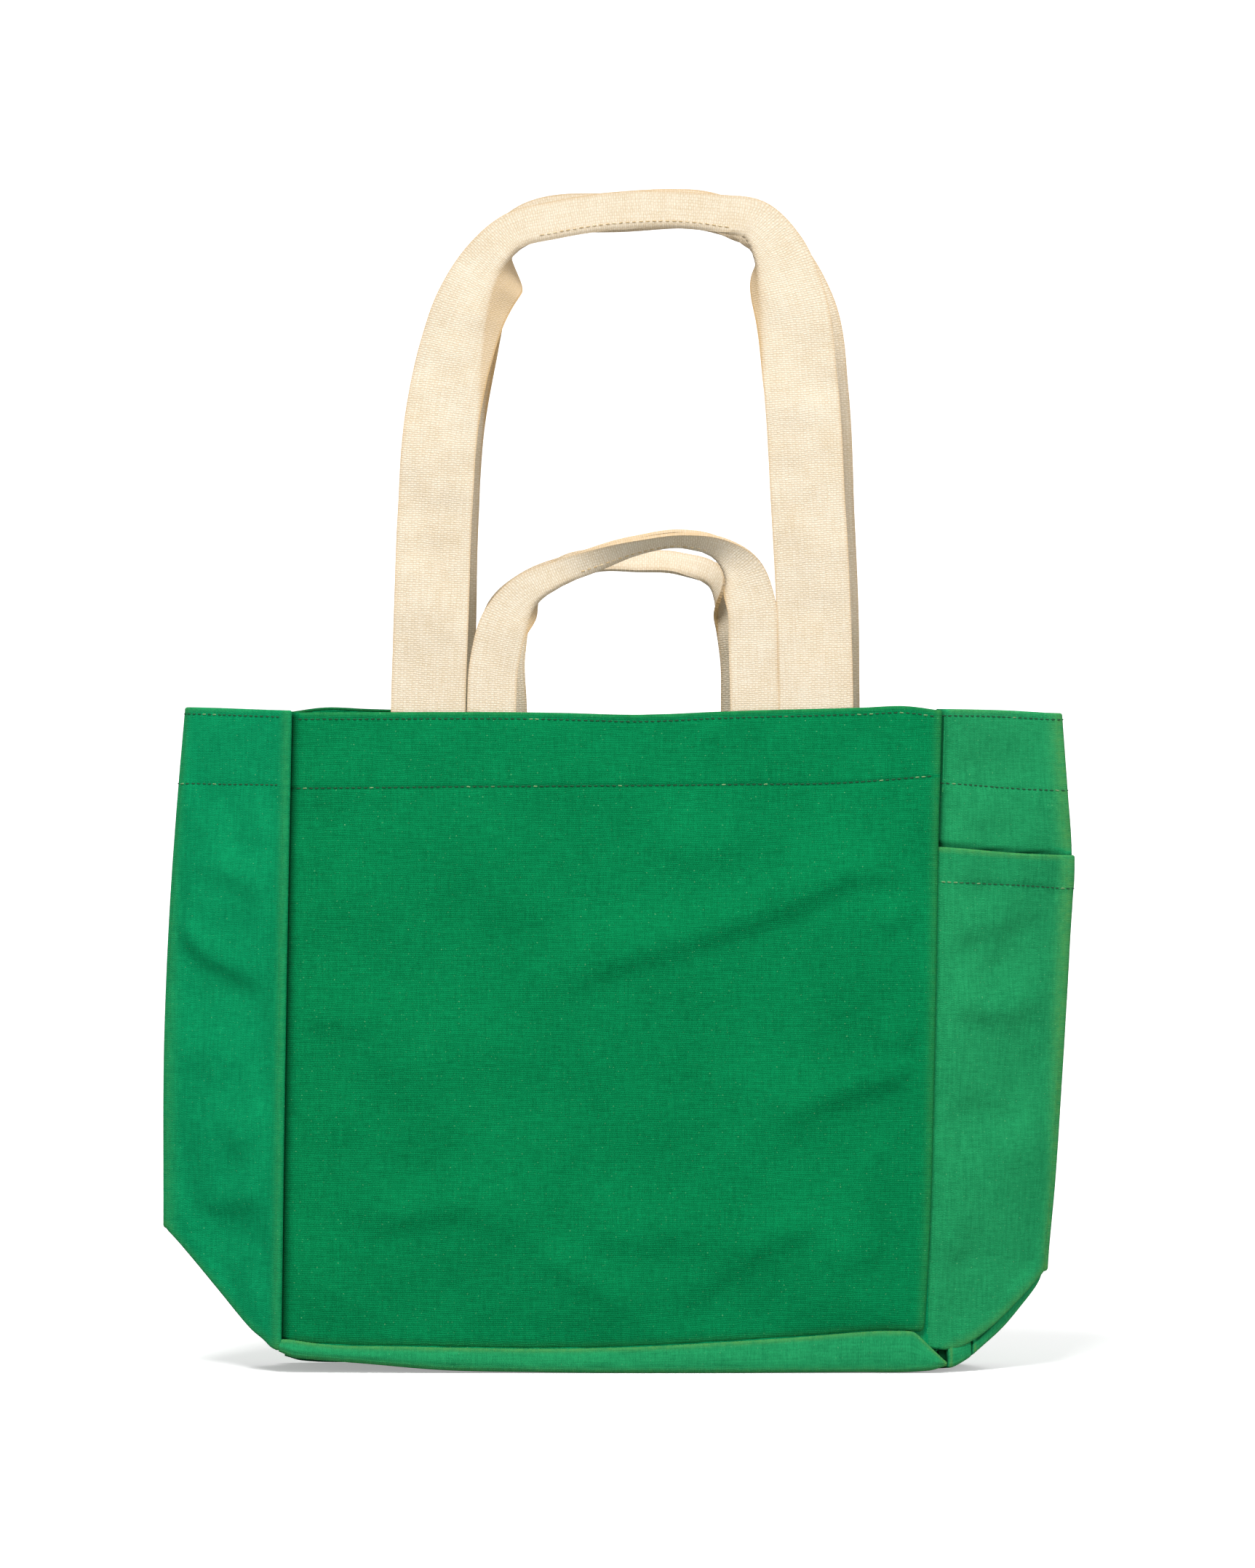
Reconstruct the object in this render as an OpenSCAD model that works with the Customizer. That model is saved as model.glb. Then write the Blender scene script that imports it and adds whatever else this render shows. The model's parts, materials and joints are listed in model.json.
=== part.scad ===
// Canvas garden tool tote: two panels, two folding side gussets, a pleated
// base, one side pocket, two long shoulder straps and two short grab handles.
// +Z is up and the front panel faces -Y. The origin is on the floor, at the
// middle of the base. The bag is drawn part open, with its gussets folded out.

/* [Bag body] */
// Width of the front and back panels, between their side seams
panel_w = 330; // [300:1:380]
// Height of the rim above the floor
bag_h = 338; // [300:1:380]
// Width of half a side gusset, from a panel seam to the centre fold
gusset_half = 70; // [60:1:80]
// Gap between the front and back panels as drawn
rest_depth = 56; // [44:1:80]
// Thickness of one layer of canvas
canvas_t = 1.2; // [0.8:0.1:1.4]

/* [Hem, seams and base] */
// Depth of the facing band inside the rim
hem_h = 38; // [25:1:45]
// Radius of the rolled seam at each vertical corner
seam_r = 1.5; // [1:0.1:1.6]
// Radius of the rolled fold that the bag stands on
base_fold_r = 3; // [2.5:0.1:3.5]
// Height of the base cloth that shows below each panel
base_strip_h = 12; // [10:1:20]
// Thickness of the sewing thread
thread_t = 0.5; // [0.3:0.1:0.8]

/* [Side pocket] */
// Height of the pocket mouth above the floor
pocket_mouth_z = 266; // [200:1:285]
// Depth of the hem along the pocket mouth
pocket_hem_h = 17; // [12:1:22]

/* [Webbing] */
// Thickness of the cotton webbing
webbing_t = 2; // [1.5:0.1:2]
// Width of the shoulder strap webbing
shoulder_w = 38; // [30:1:40]
// Distance between the two legs of a shoulder strap
shoulder_span = 199; // [196:1:230]
// Height of a shoulder strap above the rim
shoulder_rise = 265; // [200:1:300]
// Width of the grab handle webbing
handle_w = 25; // [20:1:27]
// Distance between the two legs of a grab handle
handle_span = 134; // [110:1:134]
// Height of a grab handle above the rim
handle_rise = 90; // [80:1:120]
// Inward lean of the straps and handles, in degrees
strap_lean = 1.5; // [0:0.1:1.5]
// How far the straps and handles are sewn on to the right of the middle
strap_offset = 5; // [0:1:8]

/* [Hidden] */

LEFT = -1;
RIGHT = 1;
FRONT = -1;
BACK = 1;

canvas_green = "#0f8a4c";
thread_green = "#0a6b3a";
webbing_cream = "#f1e2c6";
thread_cream = "#e0cda8";

// Angle of a gusset half from the plane of the panels, and of half the base
// pleat from the floor. Both halves of the fold have the same width.
gusset_angle = asin(rest_depth / 2 / gusset_half);
pleat_angle = 90 - gusset_angle;
// Angle that a corner tuck is folded back from its gusset half, at which the
// tuck's bottom edge meets the end of the base pleat that it is sewn to.
tuck_angle = acos((sin(gusset_angle) ^ 2 - cos(gusset_angle))
  / sqrt(2 - (sin(gusset_angle) ^ 2 + cos(gusset_angle)) ^ 2));

front_y = -rest_depth / 2;          // inner face of the front panel
panel_outer_y = front_y - canvas_t; // outer face of the front panel
seam_x = panel_w / 2;
base_seam_z = base_fold_r + base_strip_h;
top_z = bag_h - base_fold_r;        // rim height in a gusset's own frame
crease_len = gusset_half * sqrt(2);

seam_gap = 2;          // cloth edge to the corner seam's axis
fold_gap = 1.5;        // front gusset half to the centre fold's axis
fold_r = 1.2;          // rolled cloth at the centre fold
foot_w = 4;            // flat that the rolled base fold rests on
foot_clear = 0.2;      // how far the roll itself stays off the floor
crease_r = 1.1;        // rolled cloth along a corner crease
crease_bite = 0.7;     // how far above the crease the gusset cloth begins
base_seam_r = 1.4;
base_seam_gap = 1.6;
pleat_gap = 4.2;       // pleat cloth to the base fold's axis
ridge_gap = 3.8;       // front pleat half to the ridge's axis
ridge_r = 1.5;
pocket_layer_y = 2.3;  // pocket cloth, outward from a gusset's inner face
pocket_hem_t = 0.9;
strap_gap = 1.5;       // rim to the start of a strap's free length
stitch_h = 0.7;
rim_stitch_drop = 3;
strap_turn_n = 3.6;    // squareness of a shoulder strap's arch
handle_turn_n = 2.4;   // squareness of a grab handle's arch
shoulder_grip_w = 19;  // the grip is the webbing folded in half
handle_grip_w = 12.5;
shoulder_sway = 12;    // sideways set of each arch's top
handle_sway = 20;
arch_step = 6;
overlap = 0.4;

// ---------------------------------------------------------------- placement

// Children are drawn on the left front quarter of the bag.
module at_quarter(side, face)
  mirror([side == RIGHT ? 1 : 0, 0, 0]) at_face(face) children();

// Children are drawn on the front of the bag.
module at_face(face) mirror([0, face == BACK ? 1 : 0, 0]) children();

// A gusset half's own frame: x runs from the panel seam to the centre fold,
// y points out of the bag and z is height above the base fold's axis.
module in_gusset(side, face)
  at_quarter(side, face)
    translate([-seam_x, front_y, base_fold_r])
      rotate([0, 0, 180 - gusset_angle]) children();

// Stands a 2D outline up as a sheet, from y0 to y0 + thickness.
module upright(y0, thickness)
  translate([0, y0 + thickness, 0])
    rotate([90, 0, 0]) linear_extrude(thickness) children();

// ------------------------------------------------------------ panels, facing

module panel(face)
  color(canvas_green) at_face(face)
    upright(panel_outer_y, canvas_t)
      translate([-seam_x + seam_gap, base_seam_z + base_seam_gap])
        square([panel_w - 2 * seam_gap, bag_h - base_seam_z - base_seam_gap]);

module facing(face) {
  inset = 5;
  color(canvas_green) at_face(face)
    upright(front_y + webbing_t, canvas_t)
      translate([-seam_x + inset, bag_h - hem_h])
        square([panel_w - 2 * inset, hem_h]);
}

module corner_seam(side, face) {
  lowest = 2 * base_fold_r + 1;
  color(thread_green) at_quarter(side, face)
    translate([-seam_x, front_y, lowest])
      cylinder(r = seam_r, h = bag_h - lowest, $fn = 32);
}

// ------------------------------------------------------------------- gussets

// Outline of a gusset half with its bottom corner creased at 45 degrees.
module mitred(from_s, to_s, top)
  polygon([[from_s, from_s + crease_bite], [to_s, to_s + crease_bite],
    [to_s, top], [from_s, top]]);

module corner_crease() {
  clear_of_seam = 4;
  clear_of_fold = 10;
  rotate([0, 45, 0]) translate([0, 0, clear_of_seam])
    cylinder(r = crease_r, h = crease_len - clear_of_seam - clear_of_fold, $fn = 32);
}

module centre_fold() {
  lowest = gusset_half + 3;
  translate([gusset_half, 0, lowest])
    cylinder(r = fold_r, h = top_z - lowest, $fn = 32);
}

module gusset(side, face)
  color(canvas_green) in_gusset(side, face) {
    reach = face == BACK ? gusset_half - overlap : gusset_half - fold_gap;
    upright(0, canvas_t) mitred(seam_gap, reach, top_z);
    corner_crease();
    if (face == BACK) centre_fold();
  }

module gusset_facing(side, face) {
  near_fold = gusset_half - 8;
  color(canvas_green) in_gusset(side, face)
    upright(-canvas_t, canvas_t)
      translate([seam_gap + overlap, top_z - hem_h])
        square([near_fold - seam_gap - overlap, hem_h]);
}

// The triangle of gusset below the crease, folded back inside the bag. Its far
// edge is cut back, so that it stays on its own side of the bag as it turns.
module corner_tuck(side, face) {
  near = 6;
  far = gusset_half - 9;
  far_low = gusset_half - 16;
  lowest = 1.5;
  below_crease = 2.3;
  color(canvas_green) in_gusset(side, face)
    rotate(a = -tuck_angle, v = [1, 0, 1])
      upright(0, canvas_t)
        polygon([[near, lowest], [far_low, lowest], [far, far - 13],
          [far, far - below_crease], [near, near - below_crease]]);
}

// ---------------------------------------------------------------------- base

module base_strip(face) {
  roll_len = panel_w - 2 * seam_gap;
  color(canvas_green) at_face(face) {
    upright(panel_outer_y, canvas_t)
      translate([-roll_len / 2, base_fold_r])
        square([roll_len, base_seam_z - base_seam_gap - base_fold_r]);
    translate([-roll_len / 2, front_y, base_fold_r]) rotate([0, 90, 0])
      cylinder(r = base_fold_r - foot_clear, h = roll_len, $fn = 48);
    translate([-roll_len / 2, front_y - foot_w / 2, 0])
      cube([roll_len, foot_w, base_fold_r]);
  }
}

// Half of the base pleat, rising from the base fold to the ridge inside.
module base_half(face) {
  reach = face == BACK ? gusset_half - overlap : gusset_half - ridge_gap;
  wide = seam_x - 5;
  narrow = seam_x - 15;
  color(canvas_green) at_face(face)
    translate([0, front_y, base_fold_r]) rotate([pleat_angle, 0, 0]) {
      translate([0, 0, -canvas_t / 2]) linear_extrude(canvas_t)
        polygon([[-wide, pleat_gap], [wide, pleat_gap],
          [narrow, reach], [-narrow, reach]]);
      if (face == BACK)
        translate([-narrow, gusset_half, 0]) rotate([0, 90, 0])
          cylinder(r = ridge_r, h = 2 * narrow, $fn = 32);
    }
}

module base_seam(face)
  color(thread_green) at_face(face)
    translate([-seam_x + seam_gap, front_y - canvas_t / 2, base_seam_z])
      rotate([0, 90, 0])
        cylinder(r = base_seam_r, h = panel_w - 2 * seam_gap, $fn = 32);

// --------------------------------------------------------------- side pocket

module pocket(face)
  color(canvas_green) in_gusset(RIGHT, face)
    upright(pocket_layer_y, canvas_t)
      mitred(seam_gap, gusset_half - fold_gap, pocket_mouth_z - base_fold_r);

module pocket_hem(face)
  color(canvas_green) in_gusset(RIGHT, face)
    upright(pocket_layer_y - pocket_hem_t, pocket_hem_t)
      translate([seam_gap, pocket_mouth_z - pocket_hem_h - base_fold_r])
        square([gusset_half - fold_gap - seam_gap, pocket_hem_h]);

// ------------------------------------------------------------------- webbing

// A point on an arch's centre line: a superellipse with its top set sideways.
function arch_point(t, span, rise, n, sway) =
  let (h = pow(abs(sin(t)), 2 / n))
  [sign(cos(t)) * span / 2 * pow(abs(cos(t)), 2 / n) + sway * h ^ 2,
    rise * h];

// The unit normal of the centre line, pointing out of the arch.
function arch_normal(t, span, rise, n, sway) =
  let (
    a = arch_point(max(t - 2, 0), span, rise, n, sway),
    b = arch_point(min(t + 2, 180), span, rise, n, sway),
    d = (b - a) / norm(b - a)
  )
  t <= 0 ? [1, 0] : t >= 180 ? [-1, 0] : [d[1], -d[0]];

// The webbing narrows to its folded width over the top of the arch.
function webbing_width(t, leg_w, grip_w) =
  let (k = pow(sin(t), 3)) leg_w + (grip_w - leg_w) * k;

// A band that follows the arch from angle t0 to t1. Its edges are given as
// shares of the webbing's half width, from -1 (inside) to 1 (outside).
module arch_band(t0, t1, inner, outer, span, rise, leg_w, grip_w, n, sway) {
  centre_rise = rise - grip_w / 2;
  function edge(t, share) =
    arch_point(t, span, centre_rise, n, sway)
    + arch_normal(t, span, centre_rise, n, sway)
      * webbing_width(t, leg_w, grip_w) / 2 * share;
  polygon(concat(
    [for (t = [t0:arch_step:t1]) edge(t, outer)],
    [for (t = [t1:-arch_step:t0]) edge(t, inner)]
  ));
}

// Children are drawn upright on the front panel, with z = 0 just above the rim.
module on_rim(face)
  at_face(face)
    translate([strap_offset, front_y, bag_h + strap_gap])
      rotate([-strap_lean, 0, 0]) children();

module shoulder_band(t0, t1, inner, outer)
  arch_band(t0, t1, inner, outer, shoulder_span, shoulder_rise - strap_gap,
    shoulder_w, shoulder_grip_w, strap_turn_n, shoulder_sway);

module handle_band(t0, t1, inner, outer)
  arch_band(t0, t1, inner, outer, handle_span, handle_rise - strap_gap,
    handle_w, handle_grip_w, handle_turn_n, handle_sway);

module shoulder_strap(face)
  color(webbing_cream) on_rim(face)
    upright(0, webbing_t) shoulder_band(0, 180, -1, 1);

module grab_handle(face)
  color(webbing_cream) on_rim(face)
    upright(0, webbing_t) handle_band(0, 180, -1, 1);

// The two ends of a strap, held between the panel and its facing.
module strap_ends(face, span, width)
  color(webbing_cream) at_face(face)
    for (side = [LEFT, RIGHT])
      upright(front_y, webbing_t)
        translate([strap_offset + side * span / 2 - width / 2, bag_h - hem_h + 1])
          square([width, hem_h - 1.5]);

// ----------------------------------------------------------------- stitching

module stitch_row(from_x, to_x, z)
  translate([from_x, z - stitch_h / 2]) square([to_x - from_x, stitch_h]);

module panel_stitching(face) {
  run = seam_x - seam_gap - 1;
  color(thread_green) at_face(face)
    for (z = [bag_h - rim_stitch_drop, bag_h - hem_h])
      upright(panel_outer_y - thread_t, thread_t) stitch_row(-run, run, z);
}

module gusset_stitching(side, face)
  color(thread_green) in_gusset(side, face)
    for (z = [top_z - rim_stitch_drop, top_z - hem_h])
      upright(canvas_t, thread_t)
        stitch_row(seam_gap + 1, gusset_half - fold_gap - 1, z);

module pocket_stitching(face)
  color(thread_green) in_gusset(RIGHT, face)
    upright(pocket_layer_y + canvas_t, thread_t)
      stitch_row(seam_gap + 1, gusset_half - fold_gap - 1,
        pocket_mouth_z - pocket_hem_h - base_fold_r);

module shoulder_grip_stitching(face)
  color(thread_cream) on_rim(face)
    upright(-thread_t, thread_t) shoulder_band(60, 120, -0.85, -0.75);

module handle_grip_stitching(face)
  color(thread_cream) on_rim(face)
    upright(-thread_t, thread_t) handle_band(60, 120, -0.85, -0.75);

// --------------------------------------------------------------------- nodes

panel(FRONT);  // front_panel
panel(BACK);  // back_panel
gusset(LEFT, FRONT);  // left_gusset_front_half
gusset(LEFT, BACK);  // left_gusset_rear_half
gusset(RIGHT, FRONT);  // right_gusset_front_half
gusset(RIGHT, BACK);  // right_gusset_rear_half
base_half(FRONT);  // base_front_half
base_half(BACK);  // base_rear_half
base_strip(FRONT);  // base_front_strip
base_strip(BACK);  // base_rear_strip
corner_tuck(LEFT, FRONT);  // left_front_corner_tuck
corner_tuck(LEFT, BACK);  // left_rear_corner_tuck
corner_tuck(RIGHT, FRONT);  // right_front_corner_tuck
corner_tuck(RIGHT, BACK);  // right_rear_corner_tuck
facing(FRONT);  // front_facing
facing(BACK);  // back_facing
gusset_facing(LEFT, FRONT);  // left_gusset_front_facing
gusset_facing(LEFT, BACK);  // left_gusset_rear_facing
gusset_facing(RIGHT, FRONT);  // right_gusset_front_facing
gusset_facing(RIGHT, BACK);  // right_gusset_rear_facing
corner_seam(LEFT, FRONT);  // front_left_seam_binding
corner_seam(RIGHT, FRONT);  // front_right_seam_binding
corner_seam(LEFT, BACK);  // back_left_seam_binding
corner_seam(RIGHT, BACK);  // back_right_seam_binding
base_seam(FRONT);  // front_base_seam_binding
base_seam(BACK);  // back_base_seam_binding
pocket(FRONT);  // side_pocket_front_half
pocket(BACK);  // side_pocket_rear_half
pocket_hem(FRONT);  // side_pocket_front_hem
pocket_hem(BACK);  // side_pocket_rear_hem
shoulder_strap(FRONT);  // front_shoulder_strap
shoulder_strap(BACK);  // back_shoulder_strap
grab_handle(FRONT);  // front_grab_handle
grab_handle(BACK);  // back_grab_handle
strap_ends(FRONT, shoulder_span, shoulder_w);  // front_shoulder_strap_ends
strap_ends(BACK, shoulder_span, shoulder_w);  // back_shoulder_strap_ends
strap_ends(FRONT, handle_span, handle_w);  // front_grab_handle_ends
strap_ends(BACK, handle_span, handle_w);  // back_grab_handle_ends
panel_stitching(FRONT);  // front_panel_stitching
panel_stitching(BACK);  // back_panel_stitching
gusset_stitching(LEFT, FRONT);  // left_gusset_front_stitching
gusset_stitching(LEFT, BACK);  // left_gusset_rear_stitching
gusset_stitching(RIGHT, FRONT);  // right_gusset_front_stitching
gusset_stitching(RIGHT, BACK);  // right_gusset_rear_stitching
pocket_stitching(FRONT);  // side_pocket_front_stitching
pocket_stitching(BACK);  // side_pocket_rear_stitching
shoulder_grip_stitching(FRONT);  // front_shoulder_grip_stitching
shoulder_grip_stitching(BACK);  // back_shoulder_grip_stitching
handle_grip_stitching(FRONT);  // front_handle_grip_stitching
handle_grip_stitching(BACK);  // back_handle_grip_stitching
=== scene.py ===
"""Canvas garden tool bag: its cloth, webbing and sewing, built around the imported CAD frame.

Shapes are worked out in millimetres in the frame's own axes (front is -Y, up is +Z), and scaled to metres
when a mesh is made. A cloth is drawn on its middle surface and then given its thickness.
"""

import json
import math

import bpy
import numpy as np
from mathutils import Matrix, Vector


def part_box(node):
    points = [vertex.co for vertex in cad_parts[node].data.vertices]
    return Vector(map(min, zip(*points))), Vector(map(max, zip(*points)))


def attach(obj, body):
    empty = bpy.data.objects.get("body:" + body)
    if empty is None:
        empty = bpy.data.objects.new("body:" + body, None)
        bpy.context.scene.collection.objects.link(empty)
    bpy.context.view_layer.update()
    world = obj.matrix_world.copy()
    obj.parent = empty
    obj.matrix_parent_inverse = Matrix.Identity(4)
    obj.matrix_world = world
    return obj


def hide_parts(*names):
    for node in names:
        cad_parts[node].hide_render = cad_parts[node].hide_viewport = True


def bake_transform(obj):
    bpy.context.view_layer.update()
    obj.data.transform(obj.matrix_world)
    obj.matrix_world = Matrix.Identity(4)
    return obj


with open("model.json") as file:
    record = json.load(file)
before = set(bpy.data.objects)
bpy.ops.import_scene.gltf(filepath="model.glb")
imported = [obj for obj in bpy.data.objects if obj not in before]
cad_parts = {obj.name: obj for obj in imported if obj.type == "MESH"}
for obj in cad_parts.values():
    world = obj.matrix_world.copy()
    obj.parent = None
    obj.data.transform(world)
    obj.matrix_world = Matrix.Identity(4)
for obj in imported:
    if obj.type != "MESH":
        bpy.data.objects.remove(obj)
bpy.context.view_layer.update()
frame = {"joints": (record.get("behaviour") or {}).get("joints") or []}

MM = 0.001
LEFT, RIGHT = -1, 1
FRONT, BACK = -1, 1
FACE_NAME = {FRONT: "front", BACK: "back"}
HALF_NAME = {FRONT: "front", BACK: "rear"}
SIDE_NAME = {LEFT: "left", RIGHT: "right"}

# ---- sizes from the frame

PIVOTS = {joint["name"]: np.array(joint["pos_m"]) / MM for joint in frame["joints"]}
SEAM_X, SEAM_Y, _ = PIVOTS["back_right_seam"]
FOLD_X = PIVOTS["right_gusset_fold"][0]
BASE_Z = PIVOTS["back_base_fold"][2]
RIDGE_Z = PIVOTS["base_pleat_ridge"][2]
HALF = math.hypot(FOLD_X - SEAM_X, SEAM_Y)
SLANT = (FOLD_X - SEAM_X) / HALF
RIM_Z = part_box("front_panel")[1].z / MM
HEM_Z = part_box("front_facing")[0].z / MM
POCKET_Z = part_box("side_pocket_front_half")[1].z / MM
POCKET_LINE_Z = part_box("side_pocket_front_hem")[0].z / MM

CLOTH = 1.0          # thickness of the canvas
FACING = 0.9         # thickness of the turned band inside a rim or a pocket mouth
TAPE = 0.8           # thickness of a seam tape
WEBBING = 1.8        # thickness of the webbing
SHOULDER_W = 38.0    # width of a shoulder strap's webbing
HANDLE_W = 25.0      # width of a grab handle's webbing
LIFT = 0.6           # middle of a cloth, outward from the plane through its hinge lines
SEAM_ROLL = 1.7      # radius of the cloth rolled round a corner seam
TUCKED = 3.4         # how far in a cloth's other edge is tucked, under its neighbour's rolled edge
FOLD_LIFT = 1.9      # radius of the cloth at a gusset's centre fold
RIM_CURL = 0.8       # radius of the turned edge along a rim
CREASE_CURL = 1.2    # radius of the turned edge along the foot of a panel or gusset
RIM_LINE = 3.0       # rim down to its row of stitches
FACING_REACH = 155.0 # how far a panel's facing reaches to either side
FACING_HEM = 4.5     # row of hem stitches down to the edge of the facing
HEM_SINK = 0.7       # the furthest that a hem sinks in, with webbing between its layers
WEBBING_ROOM = 3.0   # how far a facing stands off the panel where webbing lies between them
STRAP_END = 36.0     # how far a strap's ends reach below the rim
STEP = 2.5           # spacing of the cloth grids
SETTLE_STEP = 5.0    # spacing of the coarse cloths that are simulated
SETTLE_FRAMES = 16   # moments that they are simulated for
SETTLE_CAP = 6.5     # the furthest that a cloth may buckle

# ---- numbers


def smooth(t):
    t = np.clip(t, 0.0, 1.0)
    return t * t * (3 - 2 * t)


def bell(distance, width):
    return np.exp(-((distance / width) ** 2))


def unit(v):
    return v / np.maximum(np.linalg.norm(v, axis=-1, keepdims=True), 1e-9)


def clear_of(distance):
    """0 at an edge that is held down, rising to 1 well away from it."""
    return smooth((distance - 2) / 14)


def tuck_in(distance):
    """How far in a tucked edge is, at a distance from that edge."""
    return TUCKED * (1 - smooth((distance - 1) / 9)) ** 2


def travelled(path):
    """How far along a path each of its points lies."""
    return np.r_[0, np.cumsum(np.linalg.norm(np.diff(path, axis=0), axis=1))]


def below(line, drop):
    """The line that runs this far below another."""
    return lambda u: line(u) - drop


def curve(*points):
    """A function of one variable that passes through the points with soft corners."""
    x, y = np.array(points, float).T
    slope = np.gradient(y, x)

    def value(at):
        at = np.clip(at, x[0], x[-1])
        i = np.clip(np.searchsorted(x, at, side="right") - 1, 0, len(x) - 2)
        span = x[i + 1] - x[i]
        t = (at - x[i]) / span
        return hermite(t, span, y[i], y[i + 1], slope[i], slope[i + 1])

    return value


def hermite(t, span, a, b, slope_a, slope_b):
    return (
        (2 * t**3 - 3 * t**2 + 1) * a
        + (t**3 - 2 * t**2 + t) * span * slope_a
        + (3 * t**2 - 2 * t**3) * b
        + (t**3 - t**2) * span * slope_b
    )


def through(rows, step):
    """Rows of numbers as a smooth path, with its rows this far apart in the first two columns."""
    rows = np.array(rows, float)
    at = travelled(rows[:, :2])
    slope = np.gradient(rows, at, axis=0)
    s = np.linspace(0, at[-1], int(at[-1] / step) + 1)
    i = np.clip(np.searchsorted(at, s, side="right") - 1, 0, len(at) - 2)
    span = (at[i + 1] - at[i])[:, None]
    t = (s - at[i])[:, None] / span
    return hermite(t, span, rows[i], rows[i + 1], slope[i], slope[i + 1])


def waves(u, v, length, seed):
    """A smooth irregular field, about -1 to 1, whose waves are about this long."""
    rng = np.random.default_rng(seed)
    total = 0.0
    for _ in range(7):
        turn, phase, pace = rng.uniform(0, math.tau), rng.uniform(0, math.tau), rng.uniform(0.6, 1.5)
        total = total + np.sin(math.tau * pace / length * (u * math.cos(turn) + v * math.sin(turn)) + phase)
    return total / 3


def uneven(u, v, sizes, seed):
    """Waves of several sizes added up. A size is a height and a length."""
    return sum(height * waves(u, v, length, seed + k) for k, (height, length) in enumerate(sizes))


def fold(u, v, path, width, height):
    """A soft ridge along a path, steeper below than above, that fades at both ends of the path."""
    path = np.array(path, float)
    length = np.linalg.norm(np.diff(path, axis=0), axis=1)
    start = np.r_[0, np.cumsum(length)]
    nearest, share, under = np.full(u.shape, 1e9), np.zeros(u.shape), np.zeros(u.shape)
    for a, b, span, before in zip(path[:-1], path[1:], length, start):
        way = (b - a) / span
        along = np.clip((u - a[0]) * way[0] + (v - a[1]) * way[1], 0, span)
        du, dv = u - a[0] - along * way[0], v - a[1] - along * way[1]
        distance = np.hypot(du, dv)
        closer = distance < nearest
        nearest = np.where(closer, distance, nearest)
        share = np.where(closer, (before + along) / start[-1], share)
        under = np.where(closer, dv / np.maximum(distance, 1e-6), under)
    fade = smooth(share / 0.2) * smooth((1 - share) / 0.35)
    return height * fade * bell(nearest, width * (1 + 0.35 * under) * (0.8 + 0.4 * share))


# ---- meshes


def make_piece(name, points, faces, material, uv=None, tone=None, sharp=None):
    """A smooth-shaded mesh from points in millimetres. uv and tone have one entry for each point."""
    mesh = bpy.data.meshes.new(name)
    mesh.from_pydata((np.asarray(points) * MM).tolist(), [], faces)
    mesh.polygons.foreach_set("use_smooth", [True] * len(mesh.polygons))
    corners = np.zeros(len(mesh.loops), np.int32)
    mesh.loops.foreach_get("vertex_index", corners)
    if uv is not None:
        mesh.uv_layers.new(name="UVMap").data.foreach_set("uv", np.asarray(uv, np.float32)[corners].ravel())
    if tone is not None:
        field = mesh.attributes.new("tone", "FLOAT", "POINT")
        field.data.foreach_set("value", np.asarray(tone, np.float32))
    if sharp is not None:
        mesh.set_sharp_from_angle(angle=math.radians(sharp))
    mesh.materials.append(material)
    mesh.update()
    piece = bpy.data.objects.new(name, mesh)
    bpy.context.scene.collection.objects.link(piece)
    return piece


def grid_normals(middle):
    return unit(np.cross(np.gradient(middle, axis=0), np.gradient(middle, axis=1)))


def grid_uv(u, v):
    return np.stack(np.broadcast_arrays(u, v), -1)


def columns(rows):
    """Rows of pairs of arrays as two grids, one for each of the pair."""
    return (np.stack(values, 1) for values in zip(*rows))


def grid_faces(n, m):
    corner = np.arange(n - 1)[:, None] * m + np.arange(m - 1)
    return np.stack([corner, corner + m, corner + m + 1, corner + 1], -1).reshape(-1, 4)


def sheet(name, middle, material, uv, tone=None, thickness=CLOTH):
    """A closed cloth of this thickness around a grid of middle points."""
    n, m = middle.shape[:2]
    half = grid_normals(middle) * thickness / 2
    points = np.concatenate([(middle + half).reshape(-1, 3), (middle - half).reshape(-1, 3)])
    top = grid_faces(n, m)
    index = np.arange(n * m).reshape(n, m)
    ring = np.concatenate([index[:-1, 0], index[-1, :-1], index[:0:-1, -1], index[0, :0:-1]])
    after = np.roll(ring, -1)
    rim = np.stack([after, ring, ring + n * m, after + n * m], -1)
    faces = np.concatenate([top, top[:, ::-1] + n * m, rim]).tolist()
    tone = np.zeros((n, m)) if tone is None else np.broadcast_to(tone, (n, m))
    return make_piece(name, points, faces, material, np.tile(uv.reshape(-1, 2), (2, 1)),
                      np.tile(tone.reshape(-1), 2), sharp=50)


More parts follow.
